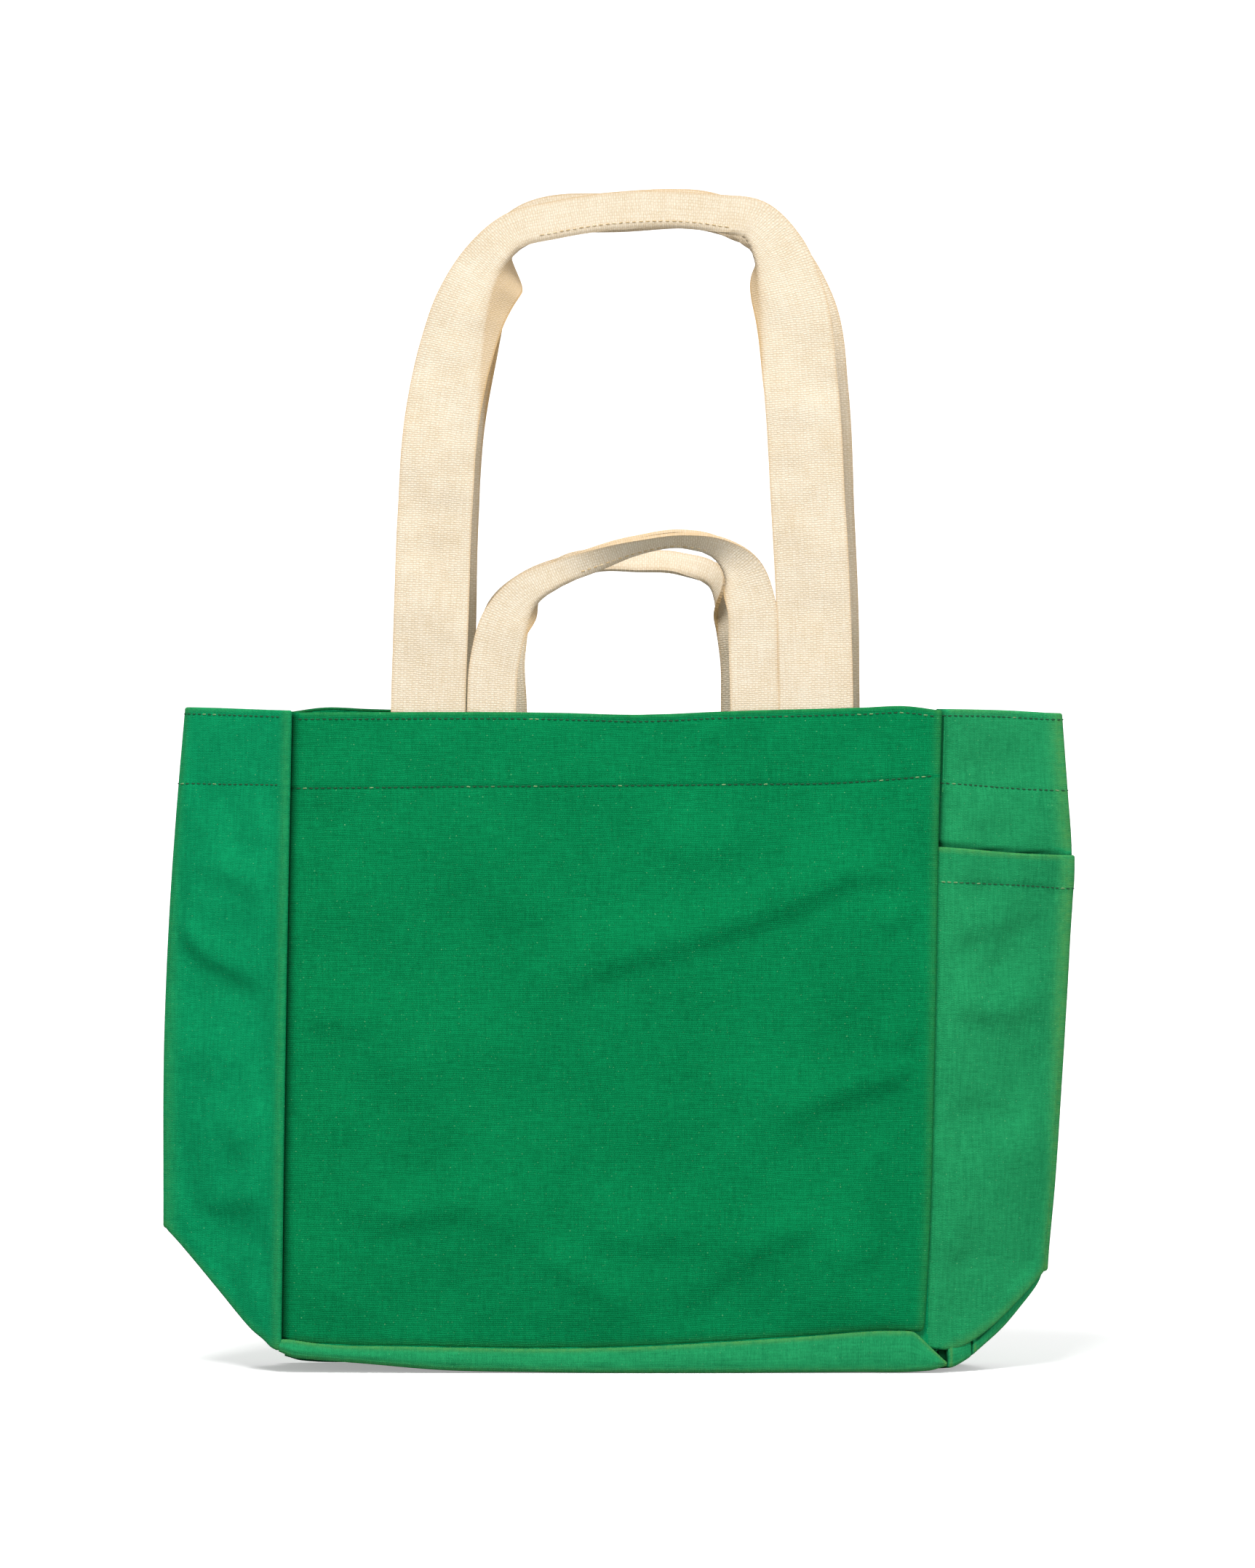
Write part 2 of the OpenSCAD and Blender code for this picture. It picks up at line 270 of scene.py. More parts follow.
def stitches(name, rows, material, pitch=3.1, length=2.3, radius=0.33, seed=1):
    """Rows of separate stitches. A row is a path of points and the outward direction at each."""
    rng = np.random.default_rng(seed)
    sides = 6
    shares = np.array([-0.5, -0.34, 0.0, 0.34, 0.5])
    girth = np.array([0.3, 0.85, 1.0, 0.85, 0.3]) * radius
    height = np.array([-0.5, 0.3, 0.55, 0.3, -0.5]) * radius
    turn = np.linspace(0, math.tau, sides, endpoint=False)
    rings = []
    for path, outward in rows:
        at = travelled(path)
        centres = np.arange(pitch * 0.6, at[-1] - pitch * 0.5, pitch)
        centres = centres + rng.uniform(-0.15, 0.15, len(centres))
        slew = rng.uniform(-0.1, 0.1, len(centres))[:, None]

        def along(values, s):
            return np.stack([np.interp(s, at, values[:, k]) for k in range(3)], -1)

        row = []
        for share, fat, rise in zip(shares, girth, height):
            s = centres + share * length
            out = unit(along(outward, s))
            way = unit(along(path, s + 0.4) - along(path, s - 0.4))
            across = np.cross(way, out)
            here = along(path, s) + out * rise + across * slew * share * length
            spread = across[:, None] * np.cos(turn)[:, None] + out[:, None] * np.sin(turn)[:, None]
            row.append(here[:, None] + fat * spread)
        rings.append(np.stack(row, 1))
    points = np.concatenate(rings)
    count, levels = points.shape[:2]
    level, k = np.meshgrid(np.arange(levels - 1), np.arange(sides), indexing="ij")
    after = (k + 1) % sides
    quads = np.stack([level * sides + k, level * sides + after,
                      (level + 1) * sides + after, (level + 1) * sides + k], -1).reshape(-1, 4)
    first = np.arange(count) * levels * sides
    faces = (quads[None] + first[:, None, None]).reshape(-1, 4).tolist()
    faces += (first[:, None] + np.arange(sides)[::-1]).tolist()
    faces += (first[:, None] + (levels - 1) * sides + np.arange(sides)).tolist()
    tone = np.repeat(rng.uniform(0, 1, count), levels * sides)
    return make_piece(name, points.reshape(-1, 3), faces, material, tone=tone)


def cubic_weights(t):
    """Weights of the four values around a place in a row, for a curve through all of them."""
    before, here = -t + 2 * t**2 - t**3, 2 - 5 * t**2 + 3 * t**3
    after, beyond = t + 4 * t**2 - 3 * t**3, t**3 - t**2
    return before / 2, here / 2, after / 2, beyond / 2


def sampled(grid, u_line, z_line):
    """A smooth function of u and z that passes through a grid of values."""
    padded = np.pad(grid, 2, mode="edge")

    def value(u, z):
        place = []
        for at, line in ((u, u_line), (z, z_line)):
            share = np.clip((at - line[0]) / (line[1] - line[0]), 0, len(line) - 1)
            place.append((share.astype(int), share % 1))
        (i, s), (j, t) = place
        total = 0.0
        for a, across in enumerate(cubic_weights(s)):
            for b, up in enumerate(cubic_weights(t)):
                total = total + padded[i + a + 1, j + b + 1] * across * up
        return total

    return value


def settle(reach, low, high, start, held, growth, bending):
    """How a cloth buckles when it is sewn in a little too large: a height field of u and z.

    start(u, z) is the way it was laid out, and held(u, z) is true where it is sewn down.
    """
    spans = ((-reach, reach), (low, high))
    lines = [np.linspace(a, b, round((b - a) / SETTLE_STEP) + 1) for a, b in spans]
    u, z = np.meshgrid(*lines, indexing="ij")
    laid = np.stack([u, -start(u, z), z], -1).reshape(-1, 3)
    piece = make_piece("settling", laid, grid_faces(*u.shape).tolist(), GREEN)
    piece.vertex_groups.new(name="sewn").add(np.flatnonzero(held(u, z)).tolist(), 1.0, "REPLACE")
    cloth = piece.modifiers.new("cloth", "CLOTH")
    settings = cloth.settings
    settings.quality = 4
    settings.tension_stiffness = settings.compression_stiffness = 15
    settings.shear_stiffness = 5
    settings.bending_stiffness = bending
    settings.shrink_min = -growth
    settings.vertex_group_mass = "sewn"
    settings.effector_weights.gravity = 0
    cloth.collision_settings.use_collision = False
    for moment in range(1, SETTLE_FRAMES + 1):
        bpy.context.scene.frame_set(moment)
    moved = piece.evaluated_get(bpy.context.evaluated_depsgraph_get()).data
    settled = np.zeros(u.size * 3, np.float32)
    moved.vertices.foreach_get("co", settled)
    bpy.data.objects.remove(piece)
    bpy.context.scene.frame_set(1)
    shift = -settled.reshape(*u.shape, 3)[..., 1] / MM
    return sampled(np.clip(shift, -SETTLE_CAP, SETTLE_CAP), *lines)


def stands_for(piece, *nodes, slot="canvas"):
    """Hides the CAD nodes that a piece replaces. slot, the material slot it wears, is not used."""
    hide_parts(*nodes)
    return piece


# ---- materials


def srgb(r, g, b):
    """A colour given as 0 to 255, in linear light."""
    return tuple(((c / 255 + 0.055) / 1.055) ** 2.4 for c in (r, g, b)) + (1.0,)


class Nodes:
    """Short calls that build one material's node tree."""

    def __init__(self, name):
        self.material = bpy.data.materials.new(name)
        self.material.use_nodes = True
        self.tree = self.material.node_tree
        self.tree.nodes.clear()

    def node(self, kind, inputs=(), **settings):
        node = self.tree.nodes.new(kind)
        for key, value in settings.items():
            setattr(node, key, value)
        for socket, value in dict(inputs).items():
            self.put(node.inputs[socket], value)
        return node

    def put(self, socket, value):
        if isinstance(value, bpy.types.NodeSocket):
            self.tree.links.new(value, socket)
        else:
            socket.default_value = value

    def math(self, operation, *values):
        return self.node("ShaderNodeMath", enumerate(values), operation=operation).outputs[0]

    def times(self, a, b):
        return self.math("MULTIPLY", a, b)

    def total(self, first, *others):
        for value in others:
            first = self.math("ADD", first, value)
        return first

    def noise(self, vector, scale, detail=2.0, roughness=0.5):
        inputs = {"Vector": vector, "Scale": scale, "Detail": detail, "Roughness": roughness}
        return self.node("ShaderNodeTexNoise", inputs).outputs["Fac"]

    def scaled(self, vector, x, y):
        inputs = {0: vector, 1: (x, y, 1.0)}
        return self.node("ShaderNodeVectorMath", inputs, operation="MULTIPLY").outputs[0]

    def ramp(self, value, low, high, out_low=0.0, out_high=1.0):
        return self.node("ShaderNodeMapRange", enumerate((value, low, high, out_low, out_high))).outputs[0]

    def mix(self, share, a, b):
        return self.node("ShaderNodeMix", {0: share, 6: a, 7: b}, data_type="RGBA").outputs[2]

    def uv(self):
        return self.node("ShaderNodeUVMap").outputs[0]

    def tone(self):
        return self.node("ShaderNodeAttribute", attribute_name="tone").outputs["Fac"]

    def finish(self, colour, height, depth, roughness, sheen, specular):
        bump = self.node("ShaderNodeBump", {"Height": height, "Distance": depth, "Strength": 1.0})
        inputs = {"Base Color": colour, "Roughness": roughness, "Sheen Weight": sheen,
                  "Sheen Roughness": 0.6, "Specular IOR Level": specular, "Normal": bump.outputs[0]}
        shader = self.node("ShaderNodeBsdfPrincipled", inputs)
        self.node("ShaderNodeOutputMaterial", {0: shader.outputs[0]})
        return self.material


def woven(n, across, along):
    """The UVs, the height of a plain weave and the unevenness of its yarns, all in millimetres."""
    uv = n.uv()
    drift = n.ramp(n.noise(uv, 0.12), 0.25, 0.75, -0.5, 0.5)
    split = n.node("ShaderNodeSeparateXYZ", {0: uv})
    a = n.math("DIVIDE", n.math("ADD", split.outputs[0], drift), across)
    b = n.math("DIVIDE", n.math("ADD", split.outputs[1], drift), along)
    hump_a = n.math("ABSOLUTE", n.math("SINE", n.times(a, math.pi)))
    hump_b = n.math("ABSOLUTE", n.math("SINE", n.times(b, math.pi)))
    odd = n.math("FLOORED_MODULO", n.math("ADD", n.math("FLOOR", a), n.math("FLOOR", b)), 2.0)
    over = n.times(hump_b, n.math("MULTIPLY_ADD", hump_a, 0.45, 0.55))
    under = n.times(hump_b, n.math("MULTIPLY_ADD", hump_a, 0.5, 0.1))
    height = n.math("MULTIPLY_ADD", odd, n.math("SUBTRACT", over, under), under)
    weft = n.noise(n.scaled(uv, 0.09, 1 / along), 1.0, 1.0)
    warp = n.noise(n.scaled(uv, 1 / across, 0.07), 1.0, 1.0)
    return uv, height, n.times(n.math("ADD", weft, warp), 0.5)


def canvas(name, colour, deep, edge, upright=False):
    """Heavy plain-woven canvas: fine ribs, uneven yarns, pale slubs and rubbed edges.

    A piece's tone is above 0 where its edges are rubbed to the edge colour, and below 0 in deep shade.
    """
    n = Nodes(name)
    uv, height, yarn = woven(n, 1.05, 0.6) if upright else woven(n, 0.6, 1.05)
    mottle = n.noise(uv, 0.33, 3.0, 0.65)
    grain = n.noise(uv, 1.4, 1.0)
    tone = n.total(
        n.ramp(yarn, 0.38, 0.62, -0.45, 0.45),
        n.ramp(n.noise(uv, 0.02, 3.0), 0.3, 0.7, -0.3, 0.3),
        n.ramp(mottle, 0.3, 0.7, -0.4, 0.4),
        n.ramp(grain, 0.25, 0.75, -0.45, 0.45),
        # Darker in the hollows of the weave and lighter on its crossings: painted shade and light.
        n.ramp(height, 0.0, 1.0, -0.35, 0.3),
    )
    base = n.mix(n.ramp(tone, -1.2, 1.2), deep, colour)
    slub = n.times(n.ramp(n.noise(uv, 0.9, 0.0), 0.75, 0.84), n.ramp(grain, 0.42, 0.6))
    base = n.mix(n.times(slub, 0.5), base, SLUB)
    rubbed = n.times(n.ramp(n.tone(), 0.0, 1.0), n.ramp(mottle, 0.3, 0.65, 0.4, 1.0))
    base = n.mix(rubbed, base, edge)
    base = n.mix(n.ramp(n.tone(), 0.0, -1.0), base, SHADE)
    bump = n.total(n.times(height, 0.7), n.times(mottle, 0.5))
    return n.finish(base, bump, 0.00025, n.ramp(mottle, 0.2, 0.8, 0.85, 0.98), 0.0, 0.03)


def cotton_webbing(name, colour, deep, edge):
    """Cotton webbing: cross ribs broken into short humps, with tan shade painted in the hollows and, where a
    piece's tone is above 0, along the selvedges and folds.
    """
    n = Nodes(name)
    uv, height, yarn = woven(n, 1.5, 1.12)
    grain = n.noise(uv, 1.2, 1.0)
    tone = n.total(
        n.ramp(yarn, 0.38, 0.62, -0.3, 0.3),
        n.ramp(n.noise(uv, 0.03), 0.3, 0.7, -0.25, 0.25),
        # Darker in the hollows of the ribs: painted shade.
        n.ramp(height, 0.0, 0.8, -0.9, 0.45),
        n.ramp(grain, 0.25, 0.75, -0.2, 0.2),
    )
    base = n.mix(n.ramp(tone, -1.3, 0.6), deep, colour)
    # Tone above 0 paints tan shade in: along the selvedges, in the bends of folds and on flaps folded partly
    # behind.
    base = n.mix(n.ramp(n.tone(), 0.0, 1.0), base, edge)
    bump = n.total(height, n.times(grain, 0.3))
    return n.finish(base, bump, 0.00016, 0.95, 0.0, 0.04)


def thread(name, colour, pale, some_pale):
    """Twisted sewing thread. some_pale is the share of stitches that catch the light."""
    n = Nodes(name)
    place = n.node("ShaderNodeNewGeometry").outputs["Position"]
    twist = n.noise(place, 1900.0, 1.0)
    base = n.mix(n.ramp(n.tone(), 1 - some_pale, 1.02 - some_pale), colour, pale)
    base = n.mix(n.ramp(twist, 0.3, 0.7, 0.0, 0.35), base, srgb(20, 26, 12))
    return n.finish(base, twist, 0.0001, 0.7, 0.1, 0.2)


SLUB = srgb(110, 186, 130)
SHADE = srgb(0, 52, 26)
GREEN = canvas("canvas_green", srgb(9, 141, 84), srgb(0, 106, 60), srgb(62, 126, 60))
# The same canvas twice more, lighter for the side, base and inside pieces: the light that falls on those
# pieces is painted into these two colours.
GREEN_PAINTED_LIGHT = canvas("canvas_green_painted_light", srgb(15, 158, 100), srgb(2, 122, 76), srgb(70, 136, 68), True)
GREEN_PAINTED_BRIGHT = canvas("canvas_green_painted_bright", srgb(42, 163, 102), srgb(24, 127, 77), srgb(94, 148, 72), True)
# The webbing's deep colour is painted shade in its hollows, and its edge colour is the tan shade painted
# along selvedges and folds.
CREAM = cotton_webbing("webbing_cream", srgb(230, 218, 198), srgb(206, 186, 154), srgb(198, 166, 120))
GREEN_THREAD = thread("thread_green", srgb(6, 84, 46), srgb(128, 172, 116), 0.1)
CREAM_THREAD = thread("thread_cream", srgb(206, 178, 130), srgb(226, 204, 164), 0.3)

# ---- outlines in plan

# How far each corner seam is set sideways at a height, on the viewer's left and right.
SEAM_LEAN = {
    LEFT: curve((10, -6.0), (120, -4.5), (240, -2.5), (338, -0.5)),
    RIGHT: curve((10, -9.0), (60, -6.0), (160, -3.0), (290, -0.6), (338, 0.8)),
}


class Outline:
    """A cloth seen from above, as a row of columns from one corner seam to the next.

    A column has a foot on its hinge plane, an outward direction, a lift along it, a distance u along the
    cloth, and a freedom from 0 to 1 that says how far folds may move it.
    """

    def __init__(self):
        self.columns = []

    def put(self, foot, out, lift, u, free):
        self.columns.append((*foot, *out, lift, u, free))

    def roll(self, seam, out, beyond, radius, u, inward, turn=200):
        """The edge rolled round a seam. inward is -1 where the cloth starts there and 1 where it ends."""
        angles = np.radians(np.linspace(turn, 0, 13))
        for a in angles if inward < 0 else angles[::-1]:
            self.put(seam, math.cos(a) * out + math.sin(a) * beyond, radius, u + inward * a * radius, 0.0)

    def run(self, start, way, out, length, ends, radius, u):
        """A straight stretch. Each of its two ends is rolled, tucked or fold."""
        begin = {"rolled": 0.15, "tucked": 1.0, "fold": 0.15}
        first, last = begin[ends[0]], begin[ends[1]]
        fine = 9.0       # the columns are closer together within this of either end
        inner = np.linspace(fine, length - fine, round((length - 2 * fine) / STEP))
        near = first + (fine - first) * np.linspace(0, 1, 8)[:-1] ** 1.3
        far = length - last - (fine - last) * np.linspace(1, 0, 8)[1:] ** 1.3
        for s in np.concatenate([near, inner, far]):
            lift = radius - SEAM_ROLL + LIFT
            for kind, distance in zip(ends, (s, length - s)):
                if kind == "rolled":
                    lift += (SEAM_ROLL - LIFT) * (1 - smooth(distance / 14)) ** 2
                elif kind == "tucked":
                    lift -= tuck_in(distance)
                else:
                    lift += (FOLD_LIFT - LIFT) * (1 - smooth(distance / 12)) ** 2
            free = clear_of(s) * clear_of(length - s)
            self.put(start + way * s, out, lift, u + s, free)

    def arrays(self):
        table = np.array(self.columns)
        return table[:, :2], table[:, 2:4], table[:, 4], table[:, 5], table[:, 6]


def panel_outline(face, layer=0.0, turn=200):
    """From the seam on the viewer's left, where it is tucked under the gusset, to its rolled edge."""
    side, out = np.array([-face, 0.0]), np.array([0.0, face])
    start = out * SEAM_Y - side * SEAM_X
    outline = Outline()
    outline.run(start, side, out, 2 * SEAM_X, ("tucked", "rolled"), SEAM_ROLL + layer, -SEAM_X)
    outline.roll(start + side * 2 * SEAM_X, out, side, SEAM_ROLL + layer, SEAM_X, 1, turn)
    return outline


def half_plan(side, face):
    """A gusset half from above: its seam, the way from there to the centre fold, and its outward side."""
    seam = np.array([side * SEAM_X, face * SEAM_Y])
    way = unit(np.array([side * FOLD_X, 0.0]) - seam)
    return seam, way, np.array([side * abs(way[1]), face * abs(way[0])])


def gusset_outline(side, layer=0.0, turn=200):
    """From the front seam over the centre fold to the rear seam. u is 0 at the fold."""
    outline = Outline()
    centre = np.array([side * FOLD_X, 0.0])
    radius = SEAM_ROLL + layer
    seam, way, out = half_plan(side, FRONT)
    rear_seam, rear_way, rear_out = half_plan(side, BACK)
    ends = ("rolled", "fold", "tucked") if side == LEFT else ("tucked", "fold", "rolled")
    if side == LEFT:
        outline.roll(seam, out, -way, radius, -HALF, -1, turn)
    outline.run(seam, way, out, HALF, ends[:2], radius, -HALF)
    bend = math.acos(out @ rear_out)
    lift = radius - SEAM_ROLL + FOLD_LIFT
    for t in np.linspace(0, 1, 11)[1:-1]:
        mixed = math.sin((1 - t) * bend) * out + math.sin(t * bend) * rear_out
        outline.put(centre, mixed / math.sin(bend), lift, lift * bend * (t - 0.5) * 0.1, 0.0)
    outline.run(centre, -rear_way, rear_out, HALF, ends[1:], radius, 0.0)
    if side == RIGHT:
        outline.roll(rear_seam, rear_out, -rear_way, radius, HALF, 1, turn)
    return outline


def seam_lean(foot, z):
    """How far the cloth near a corner seam is set sideways, as each seam leans towards its foot."""
    x, y = foot[..., 0], foot[..., 1]
    viewer_x = x * np.where(y > 0, -1, 1)
    lean = np.where(viewer_x < 0, SEAM_LEAN[LEFT](z), SEAM_LEAN[RIGHT](z)) * np.where(y > 0, -1, 1)
    return lean * (1 - smooth(np.hypot(np.abs(x) - SEAM_X, np.abs(y) - SEAM_Y) / 40))


def spaced(length, *lines):
    """Shares of a length, closer together near each line of stitches."""
    even = np.linspace(0, length, round(length / STEP) + 1)
    for line in lines:
        even = even[np.abs(even - line) > 3.2]
        close = line + np.array([-2.4, -1.5, -0.7, 0.0, 0.7, 1.5, 2.4])
        even = np.concatenate([even, close[(close >= 0) & (close <= length)]])
    return np.unique(even) / length


class Cloth:
    """A cloth hung on an outline, between the heights low(u) and high(u), with a sewn line at line(u)."""

    def __init__(self, outline, low, line, high, relief, inward=None, curls=(0, 100), sewn_top=True):
        foot, out, lift, u, free = outline.arrays()
        low, line, high = (f(u)[:, None] for f in (low, line, high))
        bottom_curl = np.radians(np.linspace(curls[0], 0, 6)[:-1]) if curls[0] else np.zeros(0)
        top_curl = np.radians(np.linspace(0, curls[1], 6)[1:]) if curls[1] else np.zeros(0)
        bottom_r = CREASE_CURL if curls[0] else 0.0
        top_r = RIM_CURL if curls[1] else 0.0
        below = spaced(np.median(line - low), np.median(line - low))
        above_mm = np.median(high - line)
        above = spaced(above_mm, 0.0, above_mm - RIM_LINE) if sewn_top else spaced(above_mm, 0.0)
        start, end = low + bottom_r, high - top_r
        z = np.concatenate([start - bottom_r * np.sin(bottom_curl), start + (line - start) * below,
                            line + (end - line) * above[1:], end + top_r * np.sin(top_curl)], 1)
        flat = np.zeros(len(below) + len(above) - 1)
        drop = np.concatenate([bottom_r * (1 - np.cos(bottom_curl)), flat, top_r * (1 - np.cos(top_curl))])
        self.u, self.z, self.free = np.broadcast_arrays(u[:, None], z, free[:, None])
        total = lift[:, None] + relief(self.u, self.z, self.free) - drop
        plan = foot[:, None] + out[:, None] * total[..., None]
        plan[..., 0] += seam_lean(foot[:, None], self.z)
        if inward is not None:
            plan[..., 0] -= np.sign(plan[..., 0]) * inward(self.u, self.z)
        self.points = np.concatenate([plan, self.z[..., None]], -1)
        self.uv = grid_uv(self.u, self.z)
        normal = grid_normals(self.points)
        outward = np.concatenate([out, np.zeros((len(out), 1))], 1)[:, None]
        self.normal = normal * np.sign((normal * outward).sum(-1).mean())
        self.sewable = slice(len(bottom_curl), self.z.shape[1] - len(top_curl))

    def seam(self, height, reach, side=1):
        """The path across the cloth at height(u) for u within reach, on its outer or inner (-1) face."""
        keep = np.where((self.u[:, 0] > reach[0]) & (self.u[:, 0] < reach[1]))[0]
        path = np.zeros((2, len(keep), 3))
        for row, i in enumerate(keep):
            z = self.z[i, self.sewable]
            for k in range(3):
                path[0, row, k] = np.interp(height(self.u[i, 0]), z, self.points[i, self.sewable, k])
                path[1, row, k] = np.interp(height(self.u[i, 0]), z, self.normal[i, self.sewable, k])
        return path[0] + side * path[1] * CLOTH / 2, side * path[1]


def sewn(u, z, line, seed):
    """The shallow groove and the puckers that a row of stitches pulls into a cloth."""
    d = z - line(u)
    groove = -0.3 * bell(d, 1.3)
    return groove + 0.22 * waves(u, z * 0.3, 11, seed) * bell(d, 6)


def sewn_rim(u, z, hem, rim, seed):
    """The same for the hem row and the fainter rim row."""
    return sewn(u, z, hem, seed + 5) + 0.6 * sewn(u, z, below(rim, RIM_LINE), seed + 6)


def sew_facing(name, outline, hem, rim, follow, material, uv_shift, inward=None):
    """The turned band inside a rim."""
    facing = Cloth(outline, below(hem, FACING_HEM), hem, below(rim, 0.4), follow, inward, curls=(0, 0))
    tone = 0.4 * bell(facing.z - hem(facing.u) + FACING_HEM, 1.2)
    piece = sheet(f"{name}_facing_cloth", facing.points, material, facing.uv + uv_shift, tone, FACING)
    return facing, piece


def sew_rows(name, cloth, facing, hem, rim, reach, inner, seed):
    """The rim row and the hem row, as they show on the cloth and on its facing inside."""
    lines = below(rim, RIM_LINE), hem
    rows = [cloth.seam(line, reach) for line in lines] + [facing.seam(line, inner, -1) for line in lines]
    return stitches(f"{name}_sewing", rows, GREEN_THREAD, seed=seed)


# ---- paths of the webbing

# A strap is given by stations along it: x, height above the rim, the width that faces outward, the angle at
# which the rest of the width is folded behind, and how far the whole section is rolled, both in degrees. A
# station that leaves out its last values faces outward with its full width, is unfolded and isn't rolled.
SHOULDER = {
    FRONT: (
        (-94, 0), (-92.5, 47), (-90.6, 102), (-87.3, 154, 36, 12), (-83.4, 184, 31, 12),
        (-77.0, 210, 25.5, 18), (-66.5, 231, 20, 34), (-50, 245.5, 18.8, 150), (-30, 250.5, 18.8, 180),
        (3, 255.4, 18.8, 180), (55, 254, 19, 180), (73, 250.5, 21, 160), (85.5, 235, 26, 92),
        (92, 213, 32, 40), (96.7, 167, 36.5, 8), (99.5, 110), (102.5, 52), (103.7, 0),
    ),
    BACK: (
        (-91, 0), (-89.8, 47), (-88.4, 102), (-85.6, 154, 36, 12), (-82, 184, 31, 32), (-76, 212, 26, 52),
        (-65, 236.5, 20, 100), (-46, 251, 18.5, 176), (5, 257.5, 18.5, 180), (57, 256, 18.8, 180),
        (79, 246.5, 22, 150), (92, 228, 27, 92), (99, 208, 33, 40), (103.5, 165, 37, 8), (105.8, 110),
        (108.2, 52), (108.9, 0),
    ),
}
HANDLE = {
    FRONT: (
        (-61.7, 0), (-60.4, 25, 24.6), (-55.5, 46, 22, 18), (-46, 60, 17, 80), (-30, 69, 13.2, 150),
        (-9, 76.5, 12.5, 180, 25), (12, 83, 12.5, 180, 52), (36, 86.3, 12.5, 180, 56),
        (55, 82, 14.5, 165, 38), (67, 70.5, 20, 100, 8), (71, 54, 24.5, 22), (71.7, 33), (72.5, 0),
    ),
    BACK: (
        (-57, 0), (-57.6, 32), (-54.5, 52, 22, 25), (-43, 65.5, 15.5, 110), (-25, 74, 12.5, 172, 10),
        (-8, 77.6, 12.5, 180, 30), (12, 77.2, 12.5, 180, 35), (36, 75.4, 12.5, 180, 35),
        (54, 69.5, 14, 155, 20), (64, 56, 20.5, 70), (67.5, 32), (68.5, 0),
    ),
}
# The middle and width of each leg where it goes in between a panel and its facing.
LEGS = {
    face: [(path[end][0], width) for path, width in ((SHOULDER[face], SHOULDER_W), (HANDLE[face], HANDLE_W))
           for end in (0, -1)]
    for face in (FRONT, BACK)
}

# ---- the two panels

# Heights across the front panel, from its left seam to its right seam.
PANEL_RIM = curve((-165, RIM_Z - 1.7), (-30, RIM_Z - 1.8), (18, RIM_Z - 2.8), (51, RIM_Z - 1.4),
                  (127, RIM_Z + 0.8), (150, RIM_Z + 1.5), (165, RIM_Z - 0.5))
PANEL_HEM = curve((-165, HEM_Z - 2), (-60, HEM_Z - 1), (60, HEM_Z), (120, HEM_Z + 1), (165, HEM_Z + 4.5))
BASE_SEAM = curve((-165, 17.4), (-150, 15.2), (-106, 13.7), (17, 13.7), (51, 15.6), (95, 18.5),
                  (140, 21.8), (165, 21.2))

# Folds of each panel as it is laid out: a path in u and z, its width and its height.
FOLD_WIDTH, FOLD_HEIGHT = 1.1, 1.35
FRONT_FOLDS = (
    (((159, 249), (140, 256), (118, 254), (84, 238), (55, 228), (21, 217), (-16, 206), (-60, 190)), 10, 2.6),
    (((160, 236), (129, 227)), 7, 1.2),
    (((160, 176), (133, 166)), 8, 1.5),
    (((160, 156), (133, 149), (103, 140), (77, 121)), 9, 2.4),
    (((138, 124), (129, 98), (127, 62)), 8, 1.2),
    (((142, 66), (107, 54)), 9, 1.6),
    (((112, 80), (84, 70), (59, 55), (21, 31)), 10, 2.0),
    (((-41, 63), (-8, 44), (22, 28)), 9, 1.6),
    (((-20, 72), (40, 70), (85, 74)), 14, 1.5),
    (((-130, 76), (-82, 85), (-71, 84), (-36, 68)), 9, 1.4),
    (((-160, 82), (-158, 34)), 6, 1.1),
    (((-156, 181), (-118, 180)), 9, 1.1),
    (((20, 264), (75, 275)), 14, 1.3),
    (((-130, 150), (-70, 170), (-20, 158)), 22, 1.2),
    (((-40, 334), (-38, 306)), 9, 0.7),
    (((52, 334), (50, 306)), 9, 0.7),
    (((136, 330), (158, 306)), 7, 1.0),
)
BACK_FOLDS = (
    (((158, 262), (120, 250), (78, 230), (30, 222), (-30, 226)), 11, 2.3),
    (((-158, 190), (-120, 176), (-70, 170), (-20, 150)), 11, 2.2),
    (((159, 150), (120, 128), (88, 98)), 9, 2.0),
    (((-158, 110), (-110, 92), (-66, 60)), 10, 1.8),
    (((40, 90), (10, 66), (-16, 40)), 10, 1.5),
    (((-158, 268), (-120, 262)), 9, 1.2),
    (((100, 60), (60, 44), (20, 40)), 10, 1.5),
    (((-30, 290), (20, 270), (80, 276)), 16, 1.2),
)


def panel_relief(face):
    folds, seed = (FRONT_FOLDS, 3) if face == FRONT else (BACK_FOLDS, 23)

    def laid(u, z):
        push = uneven(u, z, ((1.1, 150), (0.15, 42), (0.05, 15)), seed)
        for path, width, height in folds:
            push = push + fold(u, z, path, FOLD_WIDTH * width, FOLD_HEIGHT * height)
        return push * smooth((SEAM_X - np.abs(u)) / 9) * smooth((z - 12) / 12) * smooth((RIM_Z - z) / 12)

    def held(u, z):
        return (np.abs(u) > SEAM_X - 1) | (z < 16) | (z > RIM_Z - 1)

    settled = settle(SEAM_X, 10.0, RIM_Z, laid, held, growth=0.0012, bending=5.0)

    def relief(u, z, free):
        push = settled(u, z) * (0.4 + 0.6 * smooth((RIM_Z - z) / 70))
        # The webbing between the layers of the hem keeps the cloth from sinking in there.
        stiff = smooth((z - HEM_Z + 14) / 12)
        push = push + (np.maximum(push, -HEM_SINK) - push) * stiff
        seams = free * sewn_rim(u, z, PANEL_HEM, PANEL_RIM, seed) - bell(z - BASE_SEAM(u), 2.2)
        return push * free * smooth((z - 14) / 18) + seams

    return relief


PANEL_RELIEF = {face: panel_relief(face) for face in (FRONT, BACK)}


